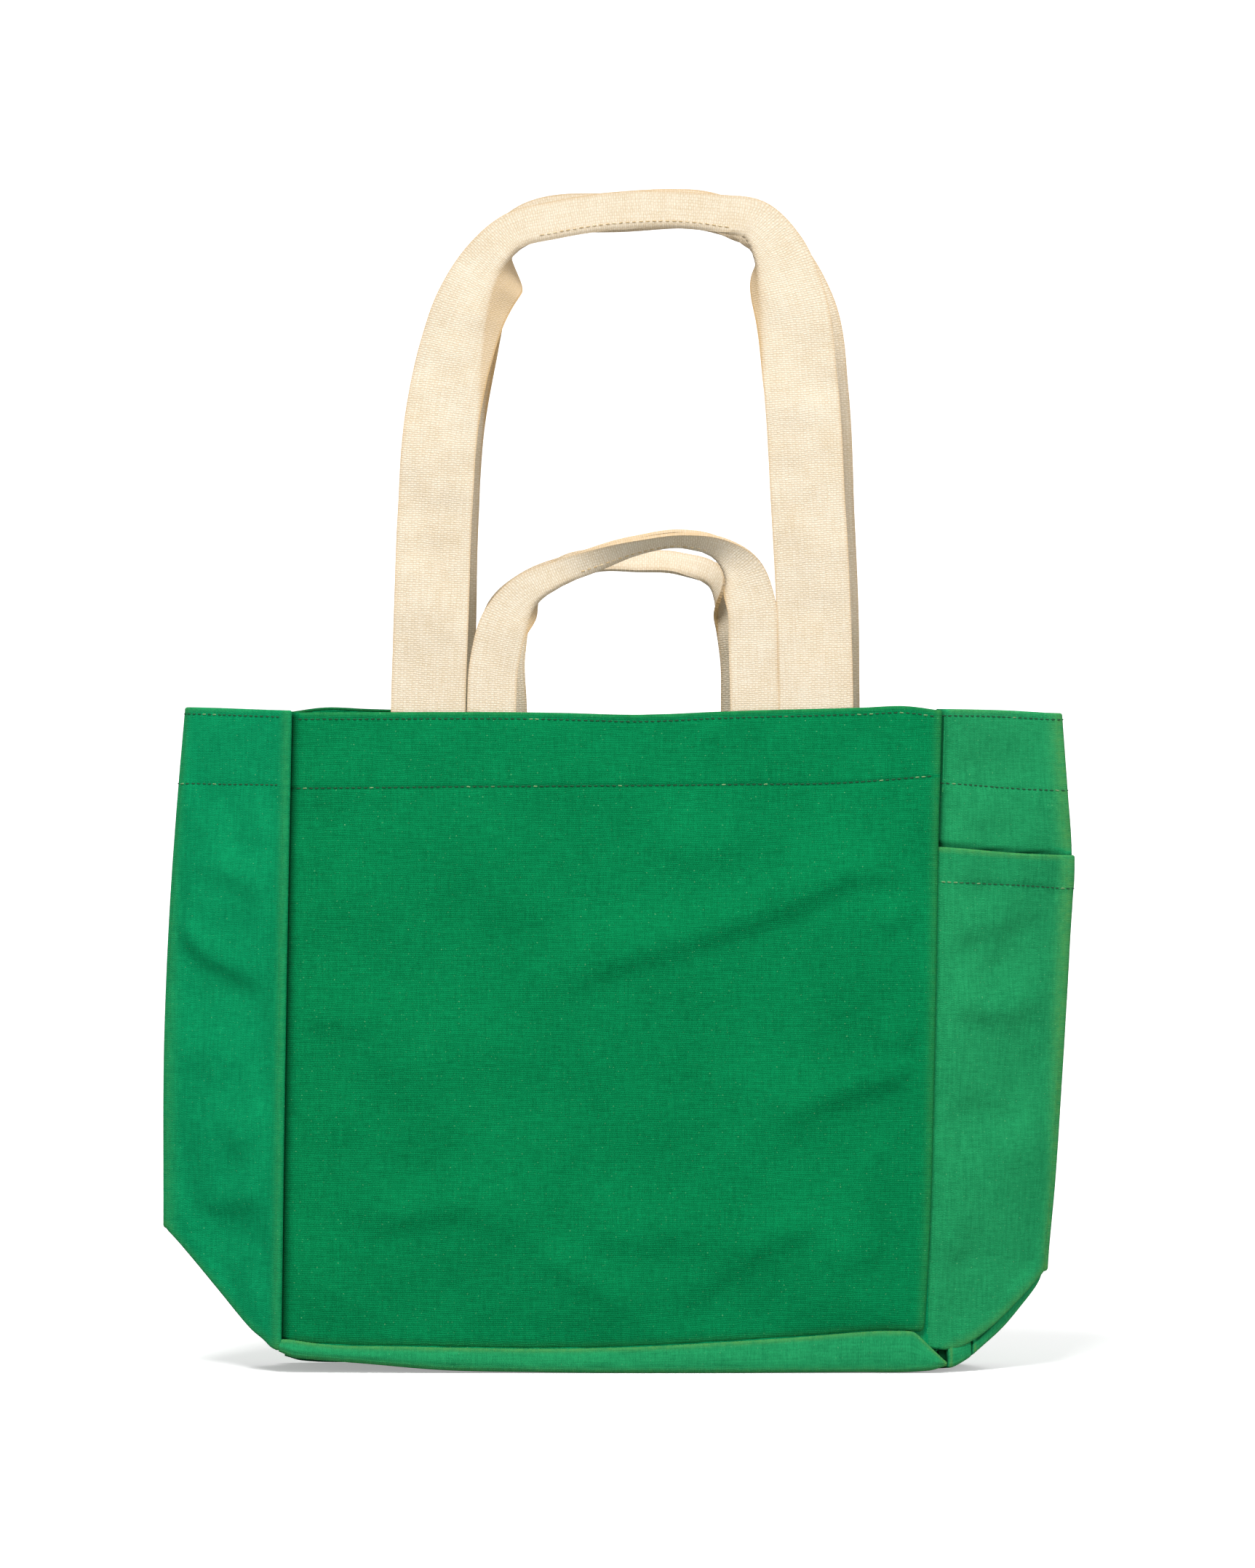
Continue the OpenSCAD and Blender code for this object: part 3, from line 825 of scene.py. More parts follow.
def panel_tone(cloth):
    """Rubbed pale rims and rolled edge; painted shade in the valley where the panel dips under the gusset
    and along the row of hem stitches.
    """
    # Painted shade where the panel dips under the gusset.
    tone = 0.35 * bell(cloth.u - SEAM_X - 1, 2.6) - 0.9 * bell(cloth.u + SEAM_X - 2.0, 3.0)
    tone = tone + 0.4 * bell(cloth.z - PANEL_RIM(cloth.u) - 0.5, 1.6)
    tone = tone + 0.3 * bell(cloth.z - BASE_SEAM(cloth.u), 2.5)
    # Painted shade along the row of hem stitches.
    return tone - 0.35 * bell(cloth.z - PANEL_HEM(cloth.u), 0.8)


def leg_zone(face, x):
    """1 where a strap's end lies between a panel and its facing, and 0 elsewhere."""
    zone = np.zeros_like(x)
    for centre, width in LEGS[face]:
        zone = np.maximum(zone, 1 - smooth((np.abs(x - centre) - width / 2 - 0.8) / 7))
    return zone


def lining(relief, u, z, free):
    """How a facing follows the folds of the cloth that it is sewn to, from inside."""
    return np.minimum(relief(u, z, free), 0.6) - 0.15


def build_panel(face):
    name = FACE_NAME[face]
    relief = PANEL_RELIEF[face]
    foot = below(BASE_SEAM, -0.5)
    cloth = Cloth(panel_outline(face), foot, PANEL_HEM, PANEL_RIM, relief, curls=(90, 100))
    piece = sheet(f"{name}_panel_cloth", cloth.points, GREEN, cloth.uv, panel_tone(cloth))
    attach(stands_for(piece, f"{name}_panel"), f"{name}_panel")

    side = -face
    outline = Outline()
    for u in np.arange(-FACING_REACH, FACING_REACH + 0.1, STEP):
        foot = np.array([side * u, face * SEAM_Y])
        outline.put(foot, (0.0, face), -0.55, u, 1.0)

    def follow(u, z, free):
        apart = leg_zone(face, side * u) * smooth((z - HEM_Z + 4) / 6)
        return lining(relief, u, z, clear_of(SEAM_X - np.abs(u))) * (1 - apart) - WEBBING_ROOM * apart

    facing, piece = sew_facing(name, outline, PANEL_HEM, PANEL_RIM, follow, GREEN, (90, 40))
    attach(stands_for(piece, f"{name}_facing"), f"{name}_panel")

    reach, inner = (-SEAM_X + 4, SEAM_X - 0.5), (-FACING_REACH - 1, FACING_REACH + 1)
    piece = sew_rows(f"{name}_panel", cloth, facing, PANEL_HEM, PANEL_RIM, reach, inner, 50 + 10 * face)
    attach(stands_for(piece, f"{name}_panel_stitching", slot="thread_green"), f"{name}_panel")


# ---- base strips and pleat

# How far each lower corner is raised off the floor, along the front base fold.
BASE_RAISE = curve((-172, 10.2), (-165, 8.2), (-151, 6.6), (-127, 4.7), (-89, 1.5), (-39, 0.3), (125, 0.3),
                   (153, 0.5), (165, 1.5), (172, 2.5))
STRIP_END = 170.0        # where each strip ends, to either side
STRIP_SLANT = 16.5       # length of the slanted end on the viewer's right
STRIP_DROP = 15.4        # how far that end comes down
STRIP_ROLL = 2.4         # radius of the cloth rolled under round the base fold
# Where the strip is puckered, and by how much.
PUCKERS = ((-81, 1.0), (-44, -0.8), (-6, 1.0), (7, -0.9), (57, 0.8), (80, -0.8), (120, 0.5))


def build_base_strip(face):
    """The base cloth below a panel: down from the base seam, and rolled under round the base fold."""
    side = -face
    u = np.linspace(-STRIP_END, STRIP_END, 160)
    roll_r = STRIP_ROLL - 1.3 * smooth((np.abs(u) - 161) / 10)
    top = BASE_SEAM(u) - 0.7 - STRIP_DROP * np.clip((u - STRIP_END + STRIP_SLANT) / STRIP_SLANT, 0, 1)
    foot_z = BASE_Z + BASE_RAISE(u)
    pucker = sum(height * bell(u - at, 5) for at, height in PUCKERS) * (1 if face == FRONT else -0.8)
    edge_r = 0.9         # radius of its turned upper edge
    rows = []
    for a in np.radians(np.linspace(100, 0, 6)[:-1]):
        rows.append((LIFT - edge_r * (1 - math.cos(a)) + 0 * u, top - edge_r + edge_r * math.sin(a)))
    for t in np.linspace(0, 1, 11):
        lift = LIFT + (roll_r - LIFT) * smooth(t) + (0.7 + 0.8 * pucker) * math.sin(math.pi * t)
        rows.append((lift, (top - edge_r) * (1 - t) + foot_z * t))
    for a in np.radians(np.linspace(0, 205, 20)[1:]):
        rows.append((roll_r * math.cos(a) + 0 * u, foot_z - roll_r * math.sin(a)))
    lift, z = columns(rows)
    wide = np.broadcast_to(u[:, None], z.shape)
    points = np.stack([side * wide, face * (SEAM_Y + lift), z], -1)
    run = travelled(points.mean(0))
    tone = 0.55 * bell(z - top[:, None], 1.4)
    tone = tone + 0.45 * bell(z - (foot_z - roll_r)[:, None], 2.0) * (lift > 0)
    name = f"base_{HALF_NAME[face]}_strip"
    piece = sheet(f"{name}_cloth", points, GREEN_PAINTED_BRIGHT, grid_uv(-run, wide), tone)
    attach(stands_for(piece, name), f"{FACE_NAME[face]}_panel")


# Height of the wrapped cloth's foot, by distance from the panel seam towards the centre fold.
WRAP_FOOT = curve((2, 3.4), (7, 3.6), (10, 4.2), (14, 5.9), (20, 9.2), (23.5, 11.8), (39, 23.4),
                  (53, 36.2), (63, 44.6), (69, 49.2))
CROSS_SEAM = 20.2        # where the wrapped cloth is joined, at the same kind of distance
WRAP_ROLL = 1.6          # radius of its rolled foot


def build_corner_wrap():
    """The base cloth wrapped round the front right corner, seen as a band below the gusset's edge."""
    s = np.unique(np.r_[np.linspace(2.5, 24, 44), np.linspace(24, 69, 30)])
    seam, way, out = half_plan(RIGHT, FRONT)
    foot_z = WRAP_FOOT(s) + 0.6
    # It reaches up behind the gusset's edge, but only a little in the dark hollow next to the strip's end.
    top = np.maximum(17.5, CREASE[RIGHT, FRONT](s) + 3.5)
    hollow = 1 - smooth((s - 6.4) / 1.4)
    top = top + (foot_z + 7.0 - top) * hollow
    groove = 0.6 * bell(s - CROSS_SEAM, 0.8) + 2.2 * hollow
    rows = []
    for t in np.linspace(0, 1, 9):
        rows.append((1.4 * smooth(t / 0.6) - 1.0 - groove, top * (1 - t) + foot_z * t))
    for a in np.radians(np.linspace(0, 200, 14)[1:]):
        rows.append((WRAP_ROLL * math.cos(a) - 1.2 - groove, foot_z - WRAP_ROLL * math.sin(a)))
    lift, z = columns(rows)
    at = s[:, None]
    plan = seam + at[..., None] * way + lift[..., None] * out
    plan[..., 0] -= fold_in(RIGHT)(at - HALF, z)
    points = np.concatenate([plan, z[..., None]], -1)
    run = travelled(points.mean(0))
    # Painted shade in the hollow by the strip's end, in the cross seam and under the gusset's crease; paler
    # lines along the hollow's edge, beside the cross seam and along the rolled foot.
    tone = 0.6 * bell(at - 8.2, 0.7) - 1.3 * hollow[:, None] + 0.3 * bell(z - foot_z[:, None] + 1.2, 1.6)
    tone = tone - 1.0 * bell(at - CROSS_SEAM, 0.8) + 0.6 * bell(at - CROSS_SEAM - 1.6, 0.7)
    tone = tone - 0.8 * bell(z - CREASE[RIGHT, FRONT](at) + 0.4, 0.9) * (at > CROSS_SEAM)
    piece = sheet("right_front_corner_wrap", points, GREEN_PAINTED_BRIGHT, grid_uv(run, at), tone)
    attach(piece, "right_gusset_front")


def pleat_end(side, along, face):
    """A point on the end edge of the base pleat, from 0 at the base fold to 1 at the ridge."""
    raised = BASE_RAISE(-side * face * SEAM_X) * (1 - along) ** 2
    return np.stack([side * (SEAM_X - 3.0 - 1.0 * along), face * SEAM_Y * (1 - along),
                     BASE_Z + raised + (RIDGE_Z - BASE_Z - 2.0) * along], -1)


def build_pleat():
    """The base, pleated up inside the bag between the two base folds."""
    u = np.linspace(-1, 1, 110)[:, None]
    from_ridge = np.linspace(HALF - 1.8, -HALF + 1.8, 61)[None]
    s = np.abs(from_ridge)
    x = u * (SEAM_X - 3.6 - 1.0 * (1 - s / HALF))
    y = -from_ridge / HALF * SEAM_Y + 0 * u
    ridge_r = 2.4        # how softly the cloth is folded at the ridge
    ridge = RIDGE_Z - 2.2 + 1.5 * waves(x, s * 0, 120, 90)
    height = (RIDGE_Z - BASE_Z) / HALF
    z = ridge - np.sqrt((s * height) ** 2 + ridge_r**2) + ridge_r
    along = smooth(s / HALF)
    z = z * (1 - along) + (RIDGE_Z - s * height) * along
    face = np.where(from_ridge > 0, FRONT, BACK)
    z = z + BASE_RAISE(-face * x) * (s / HALF) ** 2
    free = smooth(s / 12) * smooth((HALF - s) / 14) * smooth((1 - np.abs(u)) / 0.06)
    y = y + free * face * (1.6 * waves(x, s, 95, 91) + 0.4 * waves(x, s, 30, 92))
    points = np.stack([x, y, z], -1)
    piece = sheet("base_pleat_cloth", points, GREEN_PAINTED_LIGHT, grid_uv(x, from_ridge), 0.4 * bell(s, 2.5))
    stands_for(piece, "base_front_half", "base_rear_half")
    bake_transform(piece)


# ---- the gussets

# Height of each gusset's lower crease, by distance from the panel seam towards the centre fold.
CREASE = {
    (LEFT, FRONT): curve((0, 12.2), (3, 13.4), (7, 16.2), (17, 21.8), (28, 30.0), (54, 56), (HALF, 72.5)),
    (LEFT, BACK): curve((0, 12.2), (3, 13.6), (7, 16.8), (17, 23), (28, 31), (54, 57), (HALF, 72.5)),
    (RIGHT, FRONT): curve((0, 14), (19, 14), (23.5, 16.9), (39, 29.9), (53, 41), (64, 48.4), (HALF, 51)),
    (RIGHT, BACK): curve((0, 4.6), (10, 5.2), (16, 7.4), (23.5, 12.6), (39, 24.4), (53, 37), (64, 47),
                         (HALF, 51)),
}
# How far the centre fold is pressed in from its hinge line, by height. Below 0 it stands out instead.
FOLD_IN = {
    LEFT: curve((74, 0.5), (172, 1.0), (232, 3.5), (300, 8.3), (338, 11.6)),
    RIGHT: curve((46, 9.4), (56, 8.8), (93, 5.5), (148, 1.8), (172, 0.3), (216, -2.2), (268, -4.4),
                 (297, -2.4), (338, 0.6)),
}
GUSSET_RIM = {
    LEFT: curve((-HALF, RIM_Z - 0.6), (0, RIM_Z + 1.3), (HALF, RIM_Z - 1.0)),
    RIGHT: curve((-HALF, RIM_Z + 0.2), (-30, RIM_Z - 0.4), (0, RIM_Z - 1.7), (HALF, RIM_Z + 0.4)),
}
GUSSET_HEM = {
    LEFT: curve((-HALF, HEM_Z - 0.2), (0, HEM_Z + 0.4), (HALF, HEM_Z - 1.0)),
    RIGHT: curve((-HALF, HEM_Z + 1.0), (0, HEM_Z - 3.0), (HALF, HEM_Z + 1.0)),
}
POCKET_MOUTH = curve((-HALF, POCKET_Z + 2.1), (-20, POCKET_Z - 2), (0, POCKET_Z - 2.7), (HALF, POCKET_Z + 1))
POCKET_LINE = curve((-HALF, POCKET_LINE_Z + 1.7), (-20, POCKET_LINE_Z - 0.9), (0, POCKET_LINE_Z - 2.4),
                    (HALF, POCKET_LINE_Z + 1))

# Folds of the gussets' front halves, by distance from the panel seam and height.
GUSSET_FOLDS = {
    LEFT: (
        (((68, 232), (46, 214), (20, 203), (4, 204)), 8, 2.6),
        (((60, 260), (28, 254), (5, 246)), 8, 1.3),
        (((4, 134), (34, 111)), 8, 1.6),
        (((4, 90), (30, 88), (58, 86)), 9, 1.8),
        (((14, 66), (13, 30)), 7, 1.3),
        (((18, 296), (17, 266)), 8, 1.0),
        (((50, 170), (30, 150)), 12, 1.2),
    ),
    RIGHT: (
        (((4, 190), (34, 184), (64, 193)), 9, 2.0),
        (((4, 224), (30, 230), (60, 245)), 10, 1.8),
        (((4, 64), (18, 67)), 7, 1.4),
        (((62, 122), (30, 108)), 12, 1.3),
        (((5, 300), (20, 286), (46, 284)), 8, 1.4),
        (((10, 140), (40, 150)), 14, 1.1),
    ),
}


def from_seam(u):
    return np.clip(HALF - np.abs(u), 0, HALF)


def crease_of(side):
    return lambda u: np.where(u < 0, CREASE[side, FRONT](from_seam(u)), CREASE[side, BACK](from_seam(u)))


def fold_in(side, extra=0.0):
    """How far a gusset point is moved in towards the middle of the bag by the shape of its centre fold."""

    def inward(u, z):
        depth = FOLD_IN[side](z) + extra
        reach = np.abs(u) * SLANT
        pressed = np.sqrt(reach**2 + np.maximum(depth, 0) ** 2) - reach
        return (pressed + np.minimum(depth, 0) * bell(u, 24)) * (1 - smooth(np.abs(u) / 64))

    return inward


def gusset_relief(side):
    seed = 5 if side == LEFT else 9

    def laid(u, z):
        s = from_seam(u)
        push = uneven(u, z, ((1.0, 110), (0.3, 34), (0.1, 14)), seed)
        for half, folds, raised in ((FRONT, GUSSET_FOLDS[side], 0), (BACK, GUSSET_FOLDS[-side], 24)):
            for path, width, height in folds:
                ridge = fold(s, z + raised, path, FOLD_WIDTH * width, FOLD_HEIGHT * height)
                push = push + ridge * (half * u > 0)
        return push * smooth(s / 9) * smooth((HALF - s) / 9) * smooth((z - crease_of(side)(u)) / 14)

    def held(u, z):
        seams = (np.abs(u) > HALF - 1) | (np.abs(u) < 1)
        return seams | (z < crease_of(side)(u) + 4) | (z > RIM_Z - 1)

    settled = settle(HALF, 5.0, RIM_Z, laid, held, growth=0.0035, bending=3.0)

    def relief(u, z, free):
        push = settled(u, z) * (0.4 + 0.6 * smooth((RIM_Z - z) / 60))
        push = push * smooth((z - crease_of(side)(u)) / 12)
        return free * (push + sewn_rim(u, z, GUSSET_HEM[side], GUSSET_RIM[side], seed))

    return relief


def gusset_tone(cloth, side):
    """Rubbed fold, crease, rim and rolled edge, and painted shade along the tucked edge and in the pocket
    mouth.
    """
    u, z = cloth.u, cloth.z
    tone = (0.3 if side == LEFT else 0.5) * bell(u, 5) + 0.4 * bell(z - crease_of(side)(u), 3.5)
    tucked_u = HALF if side == LEFT else -HALF
    # Painted shade beside the tucked edge, wider towards the bottom.
    valley = 3.0 + 4.5 * smooth((70 - z) / 60)
    tone = tone + 0.3 * bell(u + tucked_u, 2.4) - 0.9 * bell(u - tucked_u * (1 - 2.0 / HALF), valley)
    if side == RIGHT:
        above = z - POCKET_MOUTH(u)
        # Painted shade in the gap of the pocket mouth.
        tone = tone - bell(above - 0.8, 1.7) * (above > -1.5)
    return tone + 0.35 * bell(z - z.max(), 2.0)


def hang_gusset(piece, prefix, suffix, slot="canvas"):
    """Hides both halves of a gusset that a piece replaces, and bakes the piece's place into its points."""
    stands_for(piece, f"{prefix}_front_{suffix}", f"{prefix}_rear_{suffix}", slot=slot)
    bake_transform(piece)


GUSSET_RELIEF = {side: gusset_relief(side) for side in (LEFT, RIGHT)}


def build_gusset(side):
    name = f"{SIDE_NAME[side]}_gusset"
    material = GREEN_PAINTED_LIGHT if side == LEFT else GREEN_PAINTED_BRIGHT
    relief, hem, rim = GUSSET_RELIEF[side], GUSSET_HEM[side], GUSSET_RIM[side]
    cloth = Cloth(gusset_outline(side), crease_of(side), hem, rim, relief, fold_in(side), curls=(140, 100))
    piece = sheet(f"{name}_cloth", cloth.points, material, cloth.uv, gusset_tone(cloth, side))
    hang_gusset(piece, name, "half")

    def follow(u, z, free):
        return lining(relief, u, z, clear_of(from_seam(u)) * clear_of(np.abs(u)))

    outline = Outline()
    centre = np.array([side * FOLD_X, 0.0])
    for u in np.linspace(-HALF + 4, HALF - 4, 55):
        _, way, out = half_plan(side, FRONT if u < 0 else BACK)
        outline.put(centre - way * abs(u), out, -0.6, u, 1.0)
    facing, piece = sew_facing(name, outline, hem, rim, follow, material, (50, 30), fold_in(side, 3.0))
    hang_gusset(piece, name, "facing")

    reach, inner = (-HALF + 2.5, HALF - 2.5), (-HALF + 5, HALF - 5)
    piece = sew_rows(name, cloth, facing, hem, rim, reach, inner, 90 + 10 * side)
    hang_gusset(piece, name, "stitching", "thread_green")


def build_pocket():
    """The pocket is a second layer over the right gusset, open along its hemmed mouth."""
    name, layer = "side_pocket", 1.25
    relief, inward = GUSSET_RELIEF[RIGHT], fold_in(RIGHT)

    def outer(u, z, free):
        hem = smooth((z - POCKET_LINE(u) + 4) / 8)
        gape = smooth((z - 150) / 110) * free
        return relief(u, z, free) + 0.9 * hem * (0.3 + 0.7 * free) + 2.2 * gape + 0.8 * free \
            + free * sewn(u, z, POCKET_LINE, 120)

    outline = gusset_outline(RIGHT, layer, 95)
    cloth = Cloth(outline, below(crease_of(RIGHT), 0.6), POCKET_LINE, POCKET_MOUTH, outer, inward,
                  curls=(120, 100), sewn_top=False)
    tone = np.maximum(gusset_tone(cloth, RIGHT), 0.5 * bell(cloth.z - POCKET_MOUTH(cloth.u), 1.5))
    piece = sheet(f"{name}_cloth", cloth.points, GREEN_PAINTED_BRIGHT, cloth.uv + (33, 17), tone)
    hang_gusset(piece, name, "half")

    outline = gusset_outline(RIGHT, layer - 1.0, 0)
    hem = Cloth(outline, below(POCKET_LINE, 4), POCKET_LINE, below(POCKET_MOUTH, 0.3),
                lambda u, z, free: outer(u, z, free) - 0.05, inward, curls=(0, 0), sewn_top=False)
    piece = sheet(f"{name}_hem_cloth", hem.points, GREEN_PAINTED_BRIGHT, hem.uv + (71, 9), thickness=FACING)
    hang_gusset(piece, name, "hem")

    row = cloth.seam(POCKET_LINE, (-HALF + 3, HALF - 2))
    piece = stitches(f"{name}_sewing", [row], GREEN_THREAD, seed=121)
    hang_gusset(piece, name, "stitching", "thread_green")


CREASE_LENGTH = 99.0     # a tuck along the gusset's crease, from the corner to the centre fold
TUCK_DEPTH = 66.0        # a tuck from that crease to the base pleat


def build_tuck(side, face):
    """The triangle of cloth between a gusset's lower crease and the end of the base pleat.

    It laps a little over its neighbour at the ridge, so that no gap opens between them.
    """
    name = f"{SIDE_NAME[side]}_{HALF_NAME[face]}"
    corner = np.array([side * SEAM_X, face * SEAM_Y, BASE_Z])
    top = np.array([side * FOLD_X, 0.0, BASE_Z + HALF])
    ridge = np.array([side * SEAM_X, 0.0, RIDGE_Z])
    reach = np.concatenate([np.linspace(0.03, 0.985, 34), np.linspace(1.005, 1.135, 6)])
    s = np.minimum(reach, 0.985)
    across = np.linspace(0, 1, 30)
    plain = corner + s[:, None] * (top - corner)
    out = half_plan(side, face)[2]
    u = face * HALF * (1 - s)
    crease_z = CREASE[side, face](s * HALF) + 0.5
    crease = np.concatenate([plain[:, :2] - 1.0 * out, crease_z[:, None]], 1)
    crease[:, 0] -= side * fold_in(side, 1.5)(u, crease_z)
    end = pleat_end(side, s, face)
    t = across[None, :, None]
    points = crease[:, None] * (1 - t) + end[:, None] * t
    free_edge = unit(ridge - top)
    beyond = unit((top - corner) - ((top - corner) @ free_edge) * free_edge)
    lap = CREASE_LENGTH * (reach - s)[:, None] * smooth(across / 0.3) * (1 - 0.4 * across)
    points = points + lap[..., None] * beyond
    normal = grid_normals(points)
    free = smooth(across / 0.25) * smooth((1 - across) / 0.25) * smooth(s / 0.2)[:, None]
    uu, vv = np.broadcast_arrays(reach[:, None] * CREASE_LENGTH, across * s[:, None] * TUCK_DEPTH)
    points = points + normal * (free * 1.3 * waves(uu, vv, 46, 130 + 2 * side + face))[..., None]
    # Paler along the crease, and painted shade deep in the corner.
    tone = 0.3 * bell(vv, 4) - 1.2 * bell(s * HALF, 16)[:, None]
    material = GREEN_PAINTED_LIGHT if side == LEFT else GREEN_PAINTED_BRIGHT
    piece = sheet(f"{name}_tuck_cloth", points, material, grid_uv(uu, vv), tone)
    stands_for(piece, f"{name}_corner_tuck")
    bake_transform(piece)


# ---- seam bindings


def sew_tape(name, face, points, uv, tone=None):
    piece = sheet(f"{name}_seam_tape", points, GREEN_PAINTED_LIGHT, uv, tone, TAPE)
    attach(stands_for(piece, f"{name}_seam_binding"), f"{FACE_NAME[face]}_panel")


def build_bindings(face):
    """Tapes sewn over the raw edges inside: one up each corner seam and one along the base seam."""
    w = np.linspace(0, 1, 7)[None]
    hump = 0.3 * np.sin(math.pi * w)
    for side in (LEFT, RIGHT):
        z = np.linspace(9, RIM_Z - 1.5, 120)[:, None] + 0 * w
        from_edge = 4.0 + 8.0 * w
        x = side * (SEAM_X - from_edge) + 0.3 * waves(z, w * 0, 60, 140 + side)
        cloth = PANEL_RELIEF[face](-face * x, z, clear_of(from_edge))
        tucked = tuck_in(from_edge) if side == face else 0
        depth = 0.9 - cloth + tucked + 1.0 * smooth((z - HEM_Z + 8) / 6)
        depth = depth + hump + 0.1 * waves(z, w * 8, 13, 150 + side + face)
        points = np.stack([x, face * (SEAM_Y - depth), z], -1)
        name = f"{FACE_NAME[face]}_{SIDE_NAME[side]}"
        sew_tape(name, face, points, grid_uv(w * 8, z), 0.3 * bell(w - 0.5, 0.2))
    u = np.linspace(-SEAM_X + 14, SEAM_X - 16, 120)[:, None] + 0 * w
    depth = 0.5 + hump + 0.15 * waves(u, w * 8, 13, 160 + face)
    points = np.stack([-face * u, face * (SEAM_Y - depth), BASE_SEAM(u) - 2.5 + 7.5 * w], -1)
    sew_tape(f"{FACE_NAME[face]}_base", face, points, grid_uv(u, w * 8))


# ---- the straps and handles

STRAP_DEPTH = 1.9    # middle of the webbing, inward from the panel's hinge plane
STRAP_LEAN = math.tan(math.radians(1.5))
CREASE_BEND = 3.3    # length of webbing in the bend of its fold


def build_strap(kind, stations, width, face, seed):
    name = FACE_NAME[face] + "_" + {"shoulder": "shoulder_strap", "handle": "grab_handle"}[kind]
    full = [row + (width, 0, 0)[len(row) - 2:] for row in stations]
    sewn_in = [(end[0], -STRAP_END, *end[2:]) for end in (full[0], full[-1])]
    x, rise, shown, flap, roll = through([sewn_in[0], *full, sewn_in[1]], 2.2).T
    loose = smooth((rise - 4) / 40)
    depth = STRAP_DEPTH + STRAP_LEAN * np.maximum(rise, 0)
    spine = np.stack([x, face * (SEAM_Y - depth), RIM_Z + rise], -1)
    s = travelled(spine)
    along = unit(np.gradient(spine, axis=0))
    across = unit(np.cross((0.0, 1.0, 0.0), along))
    behind = unit(np.cross(along, across)) * -face
    flap, roll = np.radians(np.clip(flap, 0, 180)), np.radians(roll)[:, None]
    turned = across * np.cos(roll) + behind * np.sin(roll)
    behind = behind * np.cos(roll) - across * np.sin(roll)
    across = turned
    q = np.linspace(0, width, 30)
    heading = flap[:, None] * smooth((q - shown[:, None] + CREASE_BEND / 2) / CREASE_BEND)
    step = np.diff(q)
    middle = (heading[:, 1:] + heading[:, :-1]) / 2
    a = np.pad(np.cumsum(np.cos(middle) * step, 1), ((0, 0), (1, 0))) - shown[:, None] / 2
    b = np.pad(np.cumsum(np.sin(middle) * step, 1), ((0, 0), (1, 0)))
    flat = loose * (1 - smooth(flap / 1.2))
    at = s[:, None]
    b = b + flat[:, None] * (0.9 * waves(at, q * 1.5, 85, seed) + 0.25 * waves(at, q, 27, seed + 1))
    points = spine[:, None] + a[..., None] * across[:, None] + b[..., None] * behind[:, None]
    past_fold = q - shown[:, None]
    opened = smooth(flap / 0.3) * smooth((2.2 - flap) / 0.6)
    # Tan shade painted along both selvedges, in the bend of the fold and on the part of the width folded
    # partly behind.
    tone = 0.55 * (bell(q, 0.8) + bell(q - width, 0.8))
    tone = tone + 0.25 * bell(past_fold, 2.0) * smooth(flap / 0.8)[:, None]
    tone = tone + 0.6 * smooth(past_fold / 2) * opened[:, None]
    piece = sheet(f"{name}_webbing", points, CREAM, grid_uv(q, at), tone, WEBBING)
    stands_for(piece, name, f"{name}_ends", slot="webbing")
    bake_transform(piece)

    grip = flap > math.radians(172)
    inset = (shown / 2 - 3.0)[:, None]
    path = (spine + across * inset - behind * WEBBING / 2)[grip]
    piece = stitches(f"{name}_grip_sewing", [(path, -behind[grip])], CREAM_THREAD, 3.4, 2.4, 0.3, seed)
    stands_for(piece, f"{FACE_NAME[face]}_{kind}_grip_stitching", slot="thread_cream")
    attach(piece, name)


# ---- build the bag

for face in (FRONT, BACK):
    build_panel(face)
    build_base_strip(face)
    build_bindings(face)
    build_strap("shoulder", SHOULDER[face], SHOULDER_W, face, 170 + face)
    build_strap("handle", HANDLE[face], HANDLE_W, face, 180 + face)
for side in (LEFT, RIGHT):
    build_gusset(side)
    for face in (FRONT, BACK):
        build_tuck(side, face)
build_pocket()
build_pleat()
build_corner_wrap()

# ---- floor, light and camera


def build_studio():
    """A white floor that curves up into a backdrop, and throws only a little light back up at the bag.

    From behind or below it is clear to the camera, so that it never hides the bag.
    """
    n = Nodes("studio_white")
    seen = n.node("ShaderNodeLightPath").outputs["Is Camera Ray"]
    inputs = {"Base Color": n.mix(seen, (0.4, 0.4, 0.4, 1), (0.93, 0.93, 0.93, 1)), "Roughness": 0.9,
              "Specular IOR Level": 0.0, "Emission Color": (1, 1, 1, 1),
              "Emission Strength": n.times(seen, 0.34)}
    shader = n.node("ShaderNodeBsdfPrincipled", inputs)
    clear = n.node("ShaderNodeBsdfTransparent")
    wrong_side = n.times(seen, n.node("ShaderNodeNewGeometry").outputs["Backfacing"])
    shown = n.node("ShaderNodeMixShader", {0: wrong_side, 1: shader.outputs[0], 2: clear.outputs[0]})
    n.node("ShaderNodeOutputMaterial", {0: shown.outputs[0]})
    wide, near, bend, radius, tall = 6000, -6000, 1500, 1200, 6000
    profile = [(near, 0), (0, 0), (bend, 0)]
    for a in np.linspace(0.1, math.pi / 2, 12):
        profile.append((bend + radius * math.sin(a), radius * (1 - math.cos(a))))
    profile.append((bend + radius, tall))
    points = [(x, y, z) for y, z in profile for x in (-wide, wide)]
    faces = [(2 * i, 2 * i + 1, 2 * i + 3, 2 * i + 2) for i in range(len(profile) - 1)]
    make_piece("studio", points, faces, n.material)


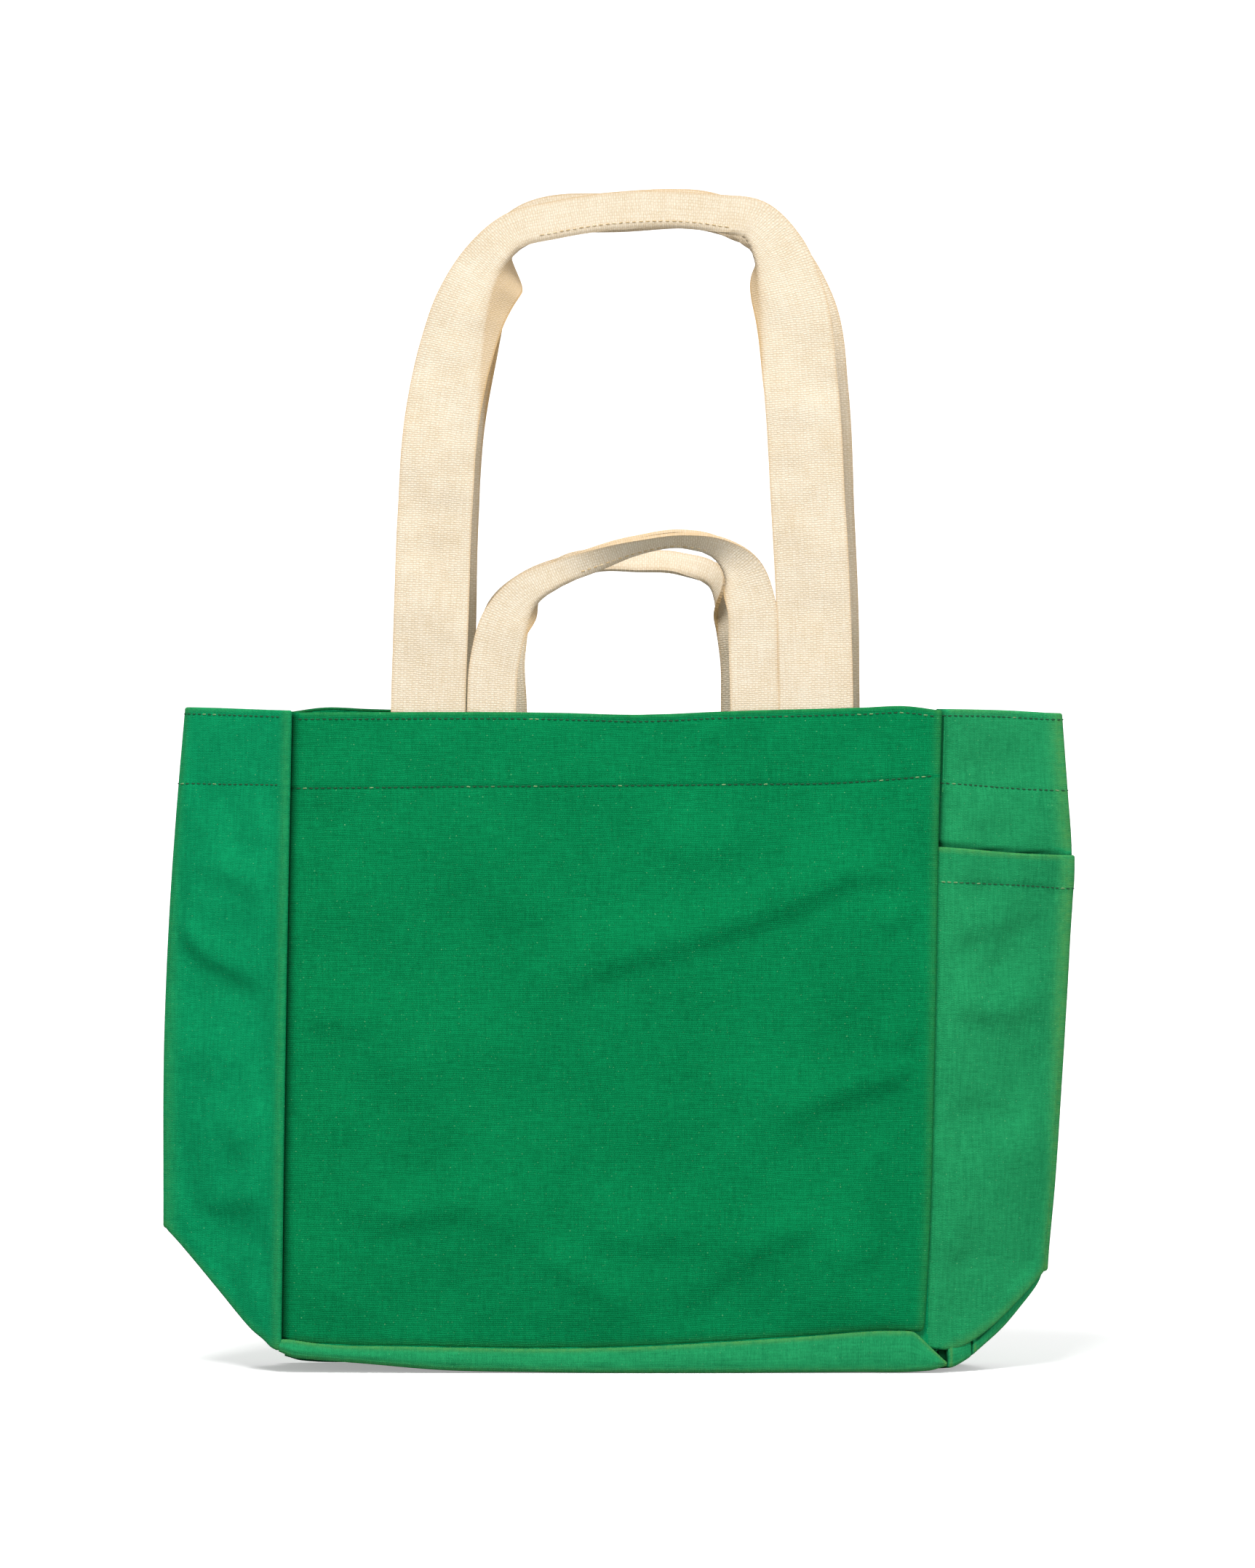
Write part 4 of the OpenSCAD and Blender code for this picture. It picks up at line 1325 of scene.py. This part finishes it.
def area_light(name, place, size, power):
    light = bpy.data.lights.new(name, "AREA")
    light.shape = "DISK"
    light.size = size
    light.energy = power
    lamp = bpy.data.objects.new(name, light)
    lamp.location = place
    lamp.rotation_euler = (Vector(BAG_MIDDLE) - Vector(place)).to_track_quat("-Z", "Y").to_euler()
    bpy.context.scene.collection.objects.link(lamp)


VIEW_HEIGHT = 799.4      # height of the picture in the plane of the front panel
VIEW_CENTRE = (7.6, 300.3)
DISTANCE = 3200.0        # camera to the middle of the bag
AIR_LIGHT = 0.42         # strength of the white air as a light; the camera sees it as plain white

# Places in metres, power in watts.
BAG_MIDDLE = (0.0, 0.0, 0.3)
LIGHTS = (
    ("key_light", (-0.45, -1.6, 2.5), 1.1, 74),
    ("fill_light", (1.5, -2.7, 0.9), 2.0, 30),
    ("back_light", (0.9, 1.9, 2.0), 1.4, 26),
)

build_studio()
for light in LIGHTS:
    area_light(*light)
world = bpy.data.worlds.new("studio_air")
world.use_nodes = True
air = world.node_tree.nodes["Background"]
air.inputs["Color"].default_value = (1, 1, 1, 1)
air_seen = world.node_tree.nodes.new("ShaderNodeLightPath").outputs["Is Camera Ray"]
air_strength = world.node_tree.nodes.new("ShaderNodeMath")
air_strength.operation = "MULTIPLY_ADD"
air_strength.inputs[1].default_value = 1.0 - AIR_LIGHT
air_strength.inputs[2].default_value = AIR_LIGHT
world.node_tree.links.new(air_seen, air_strength.inputs[0])
world.node_tree.links.new(air_strength.outputs[0], air.inputs["Strength"])
bpy.context.scene.world = world
bpy.context.scene.view_settings.view_transform = "Standard"

camera = bpy.data.objects.new("camera", bpy.data.cameras.new("camera"))
camera.data.sensor_width = 36
camera.data.lens = camera.data.sensor_width * (DISTANCE - SEAM_Y) / VIEW_HEIGHT
camera.data.clip_end = 100
camera.location = (VIEW_CENTRE[0] * MM, -DISTANCE * MM, VIEW_CENTRE[1] * MM)
camera.rotation_euler = (math.pi / 2, 0, 0)
bpy.context.scene.collection.objects.link(camera)
bpy.context.scene.camera = camera
